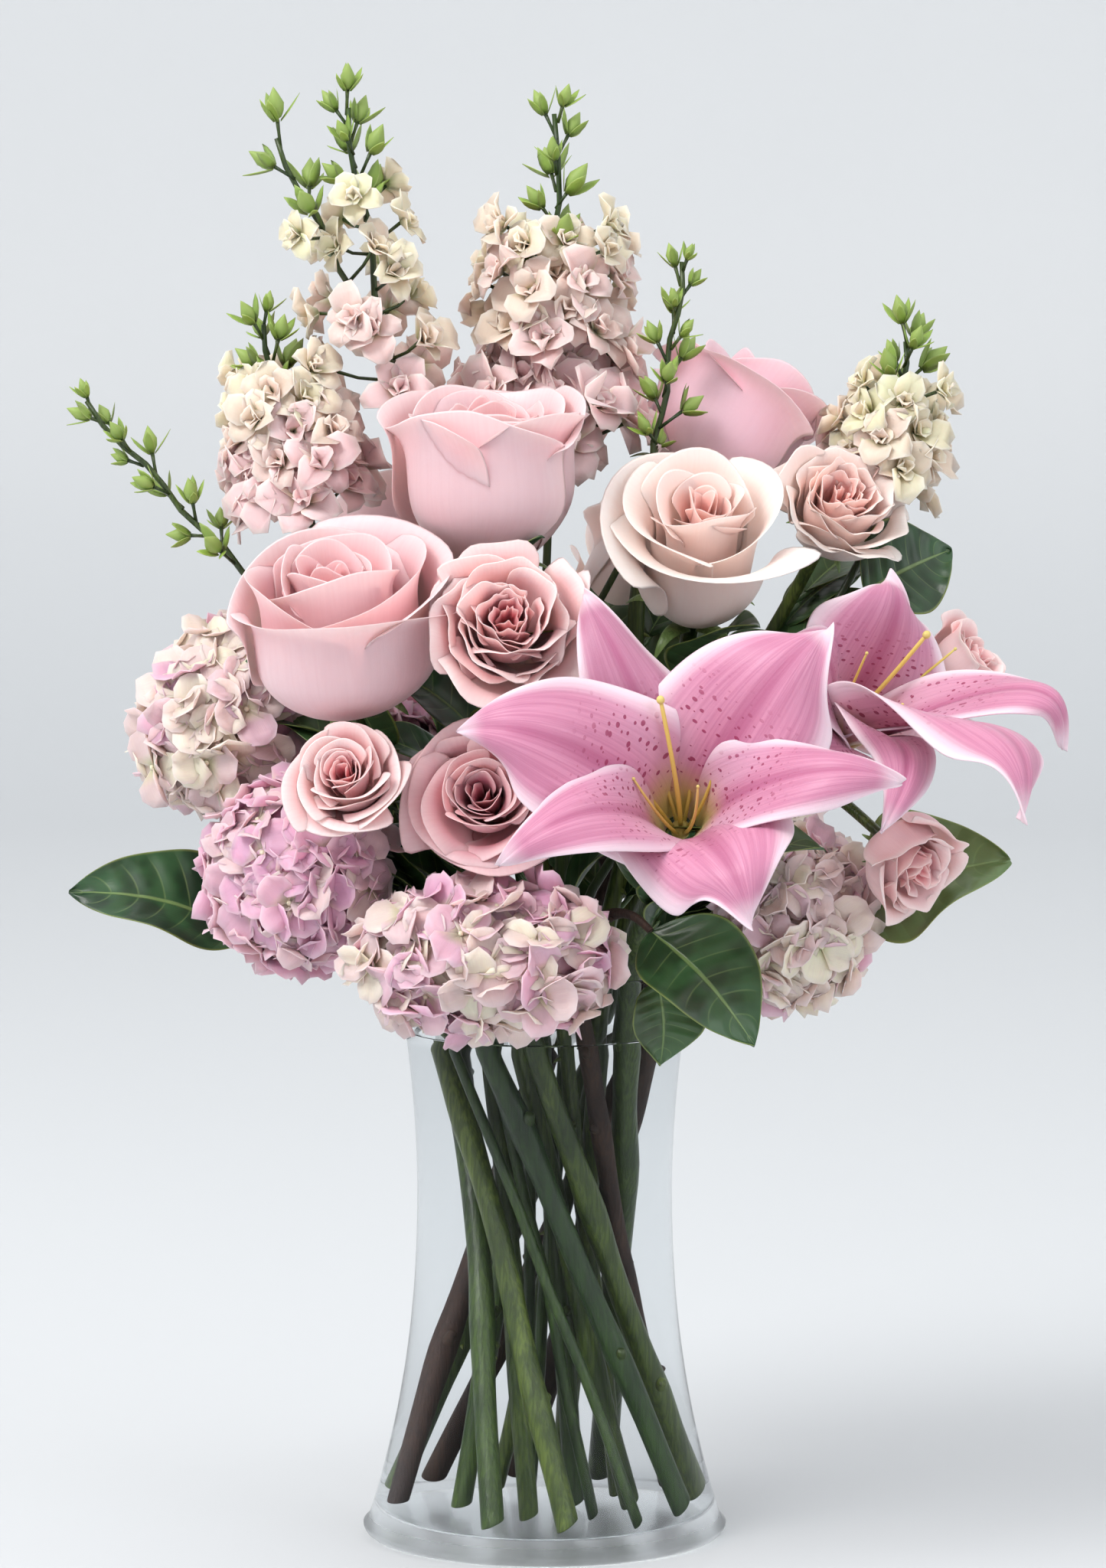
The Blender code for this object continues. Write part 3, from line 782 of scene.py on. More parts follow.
@dataclass
class Bench:
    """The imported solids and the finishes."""

    nodes: dict[str, bpy.types.Object]
    finishes: dict[str, bpy.types.Material]

    @classmethod
    def set_out(cls, nodes: dict[str, bpy.types.Object]) -> Bench:
        """Builds every finish once.

        Args:
            nodes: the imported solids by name.

        Returns:
            The bench.
        """
        petal_pattern()
        speckle()
        grain()
        makers = (
            ClearFinish("clear_glass", "f4f6f7", 1.12, 0.02, 0.32),
            ClearFinish("water", "fefefe", 1.09, 0.0),
            PetalFinish("rose_petals", "ea8c96", "f8c8cc", "fde8e6", "f2d0c0", "e8a4ac"),
            PetalFinish(
                "pale_rose_petals", "f8a098", "fdeae0", "fff6ee", "f8e4cc", "fcd0c6", heart_reach=0.95
            ),
            PetalFinish("mauve_rose_petals", "ea90a4", "f8c2ce", "fce0e6", "f0c8bc", "e8a4b4"),
            PetalFinish("spray_rose_petals", "ea808c", "fccccc", "fff6ee", "f6d4bc", "f0a4aa"),
            PetalFinish("deep_spray_rose_petals", "b8506a", "f8bcc2", "fde4e0", "ecb4a8", "dc8c9a"),
            PetalFinish(
                "hydrangea_florets", "f6edcc", "e8acc4", "f8e0e4", "ccd48c", "cc86ae", rim_share=0.3,
                tone_share=0.5, heart_reach=1.0,
            ),
            PetalFinish(
                "larkspur_florets", "f6cccc", "ebe6b8", "fbf4e8", "a9ba62", "e6acb0", rim_share=0.4,
                foot_share=0.75, heart_reach=1.0,
            ),
            PetalFinish(
                "bud_shoots", "769838", "96b448", "c4d488", "5e7a30", "4e6a2a", rim_share=0.3,
                surface=Surface(roughness=0.5, subsurface=0.1, bump=0.3),
            ),
            LilyFinish(),
            LeafFinish(),
            StemFinish(),
            StemFinish("calyx", "6f8f4a", "50703a", "9cb06c", "46602e"),
            StemFinish("woody_twigs", "321d1a", "1e1110", "523e2e", "140c0c", Surface(0.7, bump=0.8)),
            PetalFinish(
                "stamens", "d8c060", "e4cc78", "e8d48c", "b8b860", "c09030",
                surface=Surface(roughness=0.5, subsurface=0.1, bump=0.2),
            ),
        )
        return cls(nodes, {maker.name: maker.make() for maker in makers})

    def pick(self, *names: str) -> list[bpy.types.Material]:
        """The finishes of these names."""
        return [self.finishes[name] for name in names]


# ---------------------------------------------------------------- the vase and its water


@dataclass
class Vase:
    """The clear glass vase, with a narrow waist and a thick foot, and the water in it."""

    bench: Bench
    foot_radius: float = 0.065
    waist_radius: float = 0.0455
    waist_height: float = 0.125
    mouth_radius: float = 0.053
    wall: float = 0.003
    floor: float = 0.008
    foot_rounding: float = 0.004
    lip_rounding: float = 0.0014
    water_below_rim: float = 0.022
    facets: int = 128

    @property
    def height(self) -> float:
        """The height of the rim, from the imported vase."""
        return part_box("vase")[1].z

    def outer(self, height: float) -> float:
        """The radius of the outside of the glass at a height."""
        if height < self.waist_height:
            share = (self.waist_height - height) / self.waist_height
            return self.waist_radius + (self.foot_radius - self.waist_radius) * share**2.2
        share = (height - self.waist_height) / (self.height - self.waist_height)
        return self.waist_radius + (self.mouth_radius - self.waist_radius) * share**1.8

    def inner(self, height: float) -> float:
        """The radius of the inside of the glass at a height."""
        return self.outer(height) - self.wall

    def spot(self, place: Place) -> Vector:
        """The point at a place round the mouth."""
        azimuth, beyond, above = place
        return heading(azimuth) * (self.mouth_radius + beyond) + UP * (self.height + above)

    def spun(self, profile: Sequence[tuple[float, float]]) -> Bloom:
        """A solid spun about Z.

        Args:
            profile: its radius and height from one end of the axis to the other.

        Returns:
            Its shape.
        """
        bloom = Bloom()
        spin_profile(bloom.shape, profile, self.facets)
        return bloom

    def build(self) -> None:
        """Makes the glass and the water."""
        turns = [math.pi / 2 * i / 6 for i in range(7)]
        rounding = self.foot_rounding
        foot = [
            (self.foot_radius - rounding * (1 - math.sin(a)), rounding * (1 - math.cos(a))) for a in turns
        ]
        low, high = 1.3 * rounding, self.height - self.lip_rounding
        steps = [i / 40 for i in range(41)]
        outside = [(self.outer(blend(low, high, t)), blend(low, high, t)) for t in steps]
        middle = self.mouth_radius - self.wall / 2
        lip = [
            (middle + self.wall / 2 * math.cos(2 * a), high + self.lip_rounding * math.sin(2 * a))
            for a in turns[1:-1]
        ]
        well = self.floor + rounding
        inside = [(self.inner(blend(well, high, t)), blend(well, high, t)) for t in reversed(steps)]
        corner = [
            (self.inner(well) - rounding * (1 - math.cos(a)), well - rounding * math.sin(a))
            for a in turns[1:]
        ]
        profile = [(0, 0.0006), (0.75 * self.foot_radius, 0.0002), *foot, *outside, *lip, *inside, *corner]
        profile.append((0, self.floor + 0.001))
        glass = self.spun(profile)
        add_piece("vase_glass", glass, self.bench.pick("clear_glass"), Slot.GLASS, ["vase"])
        level = self.height - self.water_below_rim
        over = self.wall * 0.1
        wall = [(self.inner(blend(well, level, t)) + over, blend(well, level, t)) for t in steps]
        bottom = [(radius + over, height - over) for radius, height in reversed(corner)]
        edge = [(wall[-1][0] - 0.0006, level - 0.0006), (wall[-1][0] - 0.003, level - 0.0012)]
        water = self.spun([(0, self.floor), *bottom, *wall, *edge, (0, level - 0.0012)])
        add_piece("vase_water", water, self.bench.pick("water"), Slot.WATER, ["water"])


# ---------------------------------------------------------------- roses


@dataclass
class Rose:
    """A rose: petals wound in a spiral from a tight heart to rolled outer petals, over a green hip."""

    bench: Bench
    node: str
    way: Way
    finish: str
    slot: Slot
    petals: int = 20
    seed: int = 1
    tilt: float = 0.0
    belly_at: float = 0.45
    heart_share: float = 0.5
    heart_width: float = 0.42
    inner_lean: float = -0.34
    outer_lean: float = 0.06
    inner_wrap: float = 88.0
    outer_wrap: float = 60.0
    lip: float = 0.12
    droop: float = 0.55
    heart_depth: float = 0.05
    rim_fall: float = 0.10
    corner_fall: float = 0.20
    unruly: float = 1.0
    wave: float = 0.02
    frill: float = 0.0
    frills: float = 8.0
    spread: float = 1.0
    across: int = 10
    along: int = 10
    rounds: int = 1
    thickness: float = 0.00032
    sepals: int = 5

    def petal(self, index: int, radius: float, height: float, dice: random.Random) -> Form:
        """The form of one petal.

        Args:
            index: its number, from the heart outwards.
            radius: the rose's radius.
            height: its height.
            dice: the source of its small differences.

        Returns:
            The form.
        """
        share = index / (self.petals - 1)
        foot = 0.07 * radius * (0.4 + share)
        if share < self.heart_share:
            width = blend(0.08, self.heart_width, (share / self.heart_share) ** 0.9)
        else:
            beyond = (share - self.heart_share) / (1 - self.heart_share)
            width = blend(self.heart_width, 0.92, beyond**0.75)
        belly = radius * width * self.spread * (1 + self.unruly * dice.uniform(-0.05, 0.05))
        rim = height * (1 - self.heart_depth * (1 - share) ** 2 - self.rim_fall * smooth(2.2 * share - 1.2))
        rim *= 1 + self.unruly * dice.uniform(-0.035, 0.035)
        turn = GOLDEN_ANGLE * index + self.unruly * dice.uniform(-0.35, 0.35)
        wrap = math.radians(blend(self.inner_wrap, self.outer_wrap, share) * dice.uniform(0.88, 1.12))
        lean = blend(self.inner_lean, self.outer_lean, share**1.2)
        lip = self.lip * radius * (0.25 + 0.75 * share) * dice.uniform(0.7, 1.3)
        spiral = blend(0.26, 0.09, share**0.5) * dice.uniform(0.7, 1.3)
        phase = dice.uniform(0, math.tau)
        wave, frill = self.wave * radius * (0.4 + share), self.frill * radius * (0.5 + 0.5 * share)

        def form(s: float, t: float) -> Vector:
            """The point at s across and t along the petal."""
            narrow = 0.42 + 0.58 * smooth(t / 0.5)
            angle = turn + s * wrap * narrow * (1 - 0.12 * t**4)
            out = foot + (belly - foot) * math.sin(math.pi / 2 * min(1.0, t / self.belly_at)) ** 0.85
            above = max(0.0, (t - self.belly_at) / (1 - self.belly_at))
            out *= 1 + lean * above**1.4
            out += belly * spiral * s * smooth(2 * t)
            curl = max(0.0, (t - 0.70) / 0.30)
            corner = 1 + 0.45 * s * s
            out += lip * curl**2 * corner + 0.05 * belly * abs(s) ** 3 * above
            up = rim * (t - self.corner_fall * t * abs(s) ** 2.4 + 0.025 * t**6 * (1 - abs(s)))
            up -= lip * self.droop * curl**3 * corner
            out += t**3 * wave * math.sin(2.3 * s + phase)
            up += t**4 * wave * math.sin(3.1 * s + 2 * phase)
            flutter = t**5 * frill * math.sin(self.frills * s + phase)
            out += flutter
            up += 0.8 * t**5 * frill * math.cos(self.frills * 1.3 * s + phase)
            return Vector((math.cos(angle) * out, math.sin(angle) * out, up))

        return form

    def build(self) -> Stand:
        """Makes the petals and the calyx, and returns where the rose stands."""
        stands = stand(self.bench.nodes[self.node], self.way)
        radius, height = max(stands.size.x, stands.size.y) / 2, stands.size.z
        dice, bloom = random.Random(self.seed), Bloom()
        lean = Matrix.Rotation(math.radians(self.tilt), 4, "X")
        middle = Matrix.Translation((0, 0, height / 2))
        place = stands.place @ middle @ lean @ middle.inverted()
        for i in range(self.petals):
            ring = i / (self.petals - 1)
            form = self.petal(i, radius, height, dice)
            bloom.sheet(self.across, self.along, form, place, ring, dice.random())
        bloom.thicken(self.thickness)
        bloom.finish = 1
        self.add_calyx(bloom, stands, radius, height)
        finishes = self.bench.pick(self.finish, "calyx")
        add_piece(self.node + "_bloom", bloom, finishes, self.slot, [self.node], self.rounds)
        return stands

    def add_calyx(self, bloom: Bloom, stands: Stand, radius: float, height: float) -> None:
        """Adds the green hip under the petals and its narrow sepals."""
        hip = 0.17 * radius
        bloom.bead(stands.seat + stands.axis * 0.6 * hip, stands.axis, 2.2 * hip, 2 * hip, rounds=2)
        for i in range(self.sepals):
            turn = Matrix.Rotation(math.tau * i / self.sepals + self.seed, 4, "Z")

            def sepal(s: float, t: float) -> Vector:
                """The point at s across and t along a sepal."""
                half = 0.11 * radius * (1 - t) ** 0.7
                out = 0.9 * hip + radius * (0.62 * t - 0.08 * t * t)
                up = height * (0.02 + 0.20 * t - 0.26 * t**3) - 0.2 * half * s * s
                return Vector((s * half, out, up))

            made = bloom.sheet(4, 6, sepal, stands.place @ turn, tone=0.4)
            bloom.thicken_only(made, self.thickness)


# ---------------------------------------------------------------- lilies


@dataclass
class Lily:
    """A lily: three broad and three narrow tepals that curl back round a pistil and six filaments."""

    bench: Bench
    name: str
    way: Way
    tips: tuple[tuple[float, float, float], ...]
    arches: tuple[float, ...]
    widths: tuple[float, ...]
    # Each tepal's share of painted shade, which its finish darkens it by.
    painted_shade: tuple[float, ...]
    filament_way: Vector
    throat_radius: float = 0.0048
    knob: float = 0.0028
    filaments: int = 6
    filament_length: float = 0.047
    thickness: float = 0.0008
    steps: int = 48

    def spine(self, tip: Vector, axis: Vector, arch: float) -> list[tuple[Vector, Vector]]:
        """The middle line of a tepal: up out of the throat, over, and back to its tip.

        Args:
            tip: its tip, from the throat.
            axis: the way that the flower opens.
            arch: how far it rises above its tip, as a share of its length.

        Returns:
            Its points and the way that it runs at each.
        """
        out, length = (tip - axis * tip.dot(axis)).normalized(), tip.length
        start = out * self.throat_radius
        rise = start + (axis * 0.40 + out * 0.06) * length
        over = tip + (axis * arch - out * 0.30) * length
        line = []
        for i in range(self.steps + 1):
            t = i / self.steps
            u = 1 - t
            point = start * u**3 + rise * 3 * u * u * t + over * 3 * u * t * t + tip * t**3
            way = (rise - start) * u * u + (over - rise) * 2 * u * t + (tip - over) * t * t
            line.append((point, way.normalized()))
        return line

    def tepal(self, index: int, throat: Vector, axis: Vector, dice: random.Random) -> Form:
        """The form of one tepal; even ones are broad.

        Args:
            index: its number.
            throat: the middle of the flower's throat.
            axis: the way that the flower opens.
            dice: the source of its small differences.

        Returns:
            The form.
        """
        tip = Vector(self.tips[index]) - throat
        line = self.spine(tip, axis, self.arches[index])
        side = (tip - axis * tip.dot(axis)).normalized().cross(axis)
        phase, twist = dice.uniform(0, math.tau), dice.uniform(-0.45, 0.45)
        width = self.widths[index]
        ruffle = 0.085 * width

        def form(s: float, t: float) -> Vector:
            """The point at s across and t along the tepal."""
            middle, way = line[round(t * self.steps)]
            turned = side * math.cos(twist * t) + side.cross(way) * math.sin(twist * t)
            inward = turned.cross(way)
            half = width / 2 * (0.26 * (1 - t) + abs(math.sin(math.pi * t**0.74)) ** 0.80)
            cup = blend(0.75, -0.55, smooth(1.3 * t)) * half * s * s
            groove = -0.0022 * math.exp(-((s / 0.15) ** 2)) * (1 - t) ** 0.4
            pleat = 0.0005 * math.cos(9 * s) * (1 - t)
            edge = ruffle * abs(s) ** 2.2 * math.sin(9 * t + phase + 2.0 * s) * smooth(3 * t)
            return throat + middle + turned * s * half + inward * (cup + groove + pleat + edge)

        return form

    def build(self) -> Stand:
        """Makes the six tepals and the stamens, and returns where the lily stands."""
        stands = stand(self.bench.nodes[self.name + "_stamens"], self.way)
        throat = stands.seat + stands.axis * self.knob
        dice = random.Random(len(self.name))
        for i in range(6):
            bloom = Bloom()
            form = self.tepal(i, throat, stands.axis, dice)
            # Each tepal's tone is its share of painted shade.
            bloom.sheet(16, self.steps, form, Matrix(), 1.0, self.painted_shade[i])
            bloom.thicken(self.thickness)
            node = f"{self.name}_tepal_{i + 1}"
            add_piece(node + "_petal", bloom, self.bench.pick("lily_petals"), Slot.LILY, [node], 1)
        self.build_stamens(throat, stands.axis)
        seat = throat - stands.axis * (self.throat_radius + 0.0003)
        return Stand(Matrix.Translation(seat) @ facing(stands.axis), stands.size)

    def build_stamens(self, throat: Vector, axis: Vector) -> None:
        """Makes the pistil and the filaments, which sweep upwards from the throat.

        Args:
            throat: the middle of the flower's throat.
            axis: the way that it opens.
        """
        bloom, frame = Bloom(), facing(axis)
        bloom.bead(throat, axis, 3.2 * self.knob, 2.6 * self.knob, tone=0.2, rounds=2)
        rise = self.filament_way.normalized()
        for i in range(self.filaments + 1):
            is_pistil = i == self.filaments
            spread = Vector() if is_pistil else frame @ around(i * math.tau / self.filaments)
            length = self.filament_length * (1.18 if is_pistil else 1 - 0.07 * (i % 3))
            points, radii = [], []
            for k in range(13):
                t = k / 12
                way = axis * (t - 0.42 * t * t) * 0.9 + rise * 0.62 * t * t
                points.append(throat + way * length + spread * (0.002 + 0.019 * t**1.2))
                radii.append(blend(0.0010, 0.0008, t) if is_pistil else blend(0.00080, 0.00045, t))
            bloom.tube(points, radii, 8, (0.37 * i) % 1.0, 0.3 + 0.1 * (i % 3))
            tip_way = (points[-1] - points[-2]).normalized()
            width = 0.0030 if is_pistil else 0.0013
            bloom.bead(points[-1], tip_way, width * 1.1, width, tone=0.7, rounds=2)
        node = self.name + "_stamens"
        add_piece(node + "_tuft", bloom, self.bench.pick("stamens"), Slot.STAMENS, [node], 1)


# ---------------------------------------------------------------- hydrangeas


@dataclass
class Hydrangea:
    """A hydrangea head: four-petalled florets crowded over a dome, on short branches."""

    bench: Bench
    node: str
    way: Way
    cream: float
    flush: float
    seed: int
    florets: int = 115
    branches: int = 9
    dome_angle: float = 128.0
    petal_length: float = 0.0126
    floret_reach: float = 0.0045
    thickness: float = 0.0003

    def floret(self, dice: random.Random) -> Form:
        """The form of one petal: broad, cupped and a little wavy.

        Args:
            dice: the source of its small differences.

        Returns:
            The form.
        """
        length = self.petal_length * dice.uniform(0.85, 1.15)
        half_width = length * dice.uniform(0.50, 0.62)
        cup, bend, twist = dice.uniform(-0.1, 0.55), dice.uniform(-0.35, 0.45), dice.uniform(-0.3, 0.3)
        wave, phase = dice.uniform(0.0, 0.14), dice.uniform(0, math.tau)

        def form(s: float, t: float) -> Vector:
            """The point at s across and t along the petal."""
            half = half_width * (0.16 + 0.84 * math.sin(math.pi * min(1.0, t**0.75 * 0.86)) ** 0.8)
            notch = 0.10 * length * abs(s) ** 1.5 * t**4
            lift = cup * half * s * s + bend * length * t * t + twist * s * half * t
            lift += wave * length * math.sin(4 * s + phase) * t
            return Vector((s * half, 0.0006 + t * length - notch, lift))

        return form

    def build(self) -> Stand:
        """Makes the head, and returns where it stands."""
        stands = stand(self.bench.nodes[self.node], self.way)
        reach = stands.size / 2 - Vector.Fill(3, self.floret_reach)
        middle = Matrix.Translation((0, 0, stands.size.z / 2))
        dice, bloom = random.Random(self.seed), Bloom()
        centres, low = [], math.cos(math.radians(self.dome_angle))
        for i in range(self.florets):
            high = 1 - (1 - low) * (i + 0.5) / self.florets
            way = around(GOLDEN_ANGLE * i) * math.sqrt(1 - high * high) + UP * high
            lumps = 1 + 0.10 * noise.noise(way * 2.6 + Vector((self.seed, 0, 0)))
            depth = lumps * dice.uniform(0.84, 1.06)
            point = Vector(way[k] * reach[k] * depth for k in range(3))
            normal = Vector(way[k] / reach[k] for k in range(3)).normalized()
            jitter = Vector(dice.uniform(-0.38, 0.38) for _ in range(3))
            normal = (normal + jitter).normalized()
            place = stands.place @ middle @ Matrix.Translation(point) @ turned_to(normal)
            patch = noise.noise(way * 1.7 + Vector((0, self.seed, 0)))
            ring = min(1.0, max(0.0, self.flush + 0.9 * patch + dice.uniform(-self.cream, self.cream)))
            spin = dice.uniform(0, math.tau)
            for k in range(4):
                round_it = Matrix.Rotation(spin + math.tau * k / 4, 4, "Z")
                bloom.sheet(3, 3, self.floret(dice), place @ round_it, ring, dice.random())
            centres.append((place.translation, place.to_3x3() @ UP, ring))
        bloom.thicken(self.thickness)
        for centre, normal, ring in centres:
            bloom.bead(centre + normal * 0.0006, normal, 0.0018, 0.0022, ring * 0.3, 0.1)
        bloom.finish = 1
        self.add_branches(bloom, stands, reach)
        finishes = self.bench.pick("hydrangea_florets", "calyx")
        add_piece(self.node + "_head", bloom, finishes, Slot.HYDRANGEA, [self.node])
        return stands

    def add_branches(self, bloom: Bloom, stands: Stand, reach: Vector) -> None:
        """Adds the green heart of the head and the branches that hold the florets up.

        Args:
            bloom: the shape to add to.
            stands: where the head stands.
            reach: how far the florets' centres are from the middle.
        """
        made = bmesh.ops.create_icosphere(bloom.shape, subdivisions=3, radius=1.0)
        for vert in made["verts"]:
            lump = 1 + 0.12 * noise.noise(vert.co * 4)
            local = Vector(vert.co[k] * reach[k] * 0.72 * lump for k in range(3))
            vert.co = stands.place @ (local + UP * stands.size.z / 2)
        bloom.mark(made["verts"], 0.2, 0.3)
        for i in range(self.branches):
            out = around(GOLDEN_ANGLE * i) * (0.35 + 0.06 * i)
            tip = Vector((out.x * reach.x, out.y * reach.y, stands.size.z * 0.38))
            points = [tip * t + UP * (0.004 * math.sin(math.pi * t)) for t in (0, 0.25, 0.5, 0.75, 1)]
            bloom.tube([stands.place @ p for p in points], [0.0019, 0.0016, 0.0014, 0.0012, 0.001], 6)


# ---------------------------------------------------------------- larkspur


@dataclass(frozen=True)
class Shoot:
    """A flowering shoot: its ends, its florets, their size, and how far up the stem it branches off."""

    low: Place
    tip: Place
    florets: int
    size: float
    leaves_at: float = 1.0
    buds: int = 0
    bud_length: float = 0.009
    flush: float = 0.5
    is_green: bool = False
    stalk: float = 0.50
    full_to: float = 0.9


@dataclass
class Larkspur:
    """A stem of larkspur, with ruffled florets that turn to green buds towards its tips."""

    bench: Bench
    vase: Vase
    node: str
    mouth: tuple[str, float]
    shoots: tuple[Shoot, ...]
    seed: int
    stem_radius: float = 0.0020
    side_radius: float = 0.0013
    sway: float = 0.0012
    sepal_rounds: tuple[tuple[int, float, float], ...] = ((5, 1.0, 12.0), (4, 0.62, 52.0))
    thickness: float = 0.00028

    def sepal(self, size: float, dice: random.Random) -> Form:
        """The form of one sepal: oval, cupped and crumpled.

        Args:
            size: the floret's size.
            dice: the source of its small differences.

        Returns:
            The form.
        """
        length = 0.56 * size * dice.uniform(0.8, 1.2)
        wide = length * dice.uniform(0.34, 0.50)
        bend, cup = dice.uniform(0.0, 0.9), dice.uniform(0.1, 0.9)
        crumple, phase = dice.uniform(0.03, 0.16), dice.uniform(0, math.tau)

        def form(s: float, t: float) -> Vector:
            """The point at s across and t along the sepal."""
            half = wide * (0.12 + 0.88 * math.sin(math.pi * min(1.0, 0.06 + 0.86 * t)) ** 0.8)
            lift = length * (bend * t * (1 - 0.75 * t) + crumple * math.sin(5 * t + 3 * s + phase) * t)
            return Vector((s * half, 0.0005 + t * length * 0.95, lift + cup * half * s * s))

        return form

    def add_floret(
        self, bloom: Bloom, centre: Vector, way: Vector, size: float, ring: float, dice: random.Random
    ) -> None:
        """Adds one floret: an open outer round of sepals and a ruffled inner one."""
        place = Matrix.Translation(centre) @ turned_to(way)
        for count, scale, tilt in self.sepal_rounds:
            spin = dice.uniform(0, math.tau)
            for k in range(count):
                turned = Matrix.Rotation(spin + math.tau * k / count, 4, "Z")
                leaned = Matrix.Rotation(math.radians(tilt + dice.uniform(-15, 18)), 4, "X")
                form = self.sepal(size * scale, dice)
                bloom.sheet(2, 3, form, place @ turned @ leaned, ring, dice.random())

    def build(self, stems: Stems) -> None:
        """Makes the stem, its florets and its buds.

        Args:
            stems: the stand of stems that it rises from.
        """
        dice, bloom = random.Random(self.seed), Bloom()
        route, florets = [], []
        wood: list[tuple[list[Vector], list[float]]] = []
        for shoot in self.shoots:
            base, top = self.vase.spot(shoot.low), self.vase.spot(shoot.tip)
            way = (top - base).normalized()
            if not route:
                route = stems.route(self.mouth, self.stem_radius, base, way, self.seed)
                start, radius = list(route), self.stem_radius
            else:
                start, rise = stems.along(route, shoot.leaves_at)
                start, radius = [start, *stems.branch(start, rise, base, way)], self.side_radius
            upper = [base.lerp(top, t / 8) for t in range(1, 9)]
            sway = [
                p + facing(way) @ Vector((self.sway * math.sin(i * 2.1), self.sway * math.cos(i * 1.7), 0))
                for i, p in enumerate(upper)
            ]
            points = [*start, *sway]
            count = len(points) - 1
            wood.append((points, [blend(radius, 0.0009, (i / count) ** 2) for i in range(count + 1)]))
            florets.append((shoot, base, top, way))
        for shoot, base, top, way in florets:
            for i in range(shoot.florets):
                t = shoot.full_to * (i + dice.uniform(-0.4, 0.4)) / max(1, shoot.florets)
                reach = shoot.size * blend(1.0, 0.68, t / shoot.full_to)
                side = facing(way) @ around(GOLDEN_ANGLE * i)
                out = (side + way * 0.35).normalized()
                foot = base.lerp(top, max(0.0, t))
                centre = foot + out * reach * shoot.stalk * dice.uniform(0.6, 1.35)
                ring = shoot.flush + t / shoot.full_to - 0.4 + dice.uniform(-0.3, 0.3)
                ring = min(1.0, max(0.0, ring))
                self.add_floret(bloom, centre, out, reach * 0.95, ring, dice)
                wood.append(([foot, foot.lerp(centre, 0.6) - UP * 0.001, centre], [0.0007, 0.0006, 0.0007]))
        bloom.thicken(self.thickness)
        bloom.finish = 1
        for shoot, base, top, way in florets:
            self.add_buds(bloom, shoot, base, top, way, dice, wood)
        bloom.finish = 2
        for i, (points, radii) in enumerate(wood):
            sides = 10 if len(points) > 8 else 6
            bloom.tube(points, radii, sides, tone=0.15 + 0.2 * (i % 2), slant=0.8 if i == 0 else 0.0)
        finishes = self.bench.pick("larkspur_florets", "bud_shoots", "stems")
        add_piece(self.node + "_spray", bloom, finishes, Slot.LARKSPUR, [self.node])

    def add_buds(
        self,
        bloom: Bloom,
        shoot: Shoot,
        base: Vector,
        top: Vector,
        way: Vector,
        dice: random.Random,
        wood: list[tuple[list[Vector], list[float]]],
    ) -> None:
        """Adds the green buds of a shoot, each with a few small bracts, and notes their stalks."""
        for i in range(shoot.buds):
            share = (i + 0.5) / shoot.buds
            t = share if shoot.is_green else blend(0.8 * shoot.full_to, 1.0, share)
            foot = base.lerp(top, min(1.0, t))
            side = facing(way) @ around(GOLDEN_ANGLE * i)
            out = (side + way * blend(0.7, 2.2, share)).normalized()
            length = shoot.bud_length * dice.uniform(0.8, 1.15) * blend(1.0, 0.75, share)
            reach = dice.uniform(0.35, 0.9) * length + 0.002
            centre = foot + out * (reach + 0.5 * length)
            tone = dice.random()
            bloom.bead(centre, out, length, 0.52 * length, 0.7, tone, 2, 0.75)
            for k in range(4):
                place = Matrix.Translation(foot + out * reach) @ turned_to(out)
                place = place @ Matrix.Rotation(math.tau * k / 4 + dice.uniform(0, 1), 4, "Z")
                lean = dice.uniform(0.35, 0.75)

                def bract(s: float, u: float, size: float = length, lean: float = lean) -> Vector:
                    """The point at s across and u along a bract."""
                    half = 0.17 * size * math.sin(math.pi * min(1.0, 0.12 + 0.88 * u)) ** 0.7
                    rise = 0.75 * size * u - 0.3 * half * s * s
                    return Vector((s * half, (0.1 + lean * u) * size, rise))

                made = bloom.sheet(2, 4, bract, place, 0.4, dice.random())
                bloom.thicken_only(made, self.thickness)
            wood.append(([foot, foot + out * 0.6 * reach, foot + out * reach], [0.0007, 0.0006, 0.0008]))


# ---------------------------------------------------------------- stems and leaves


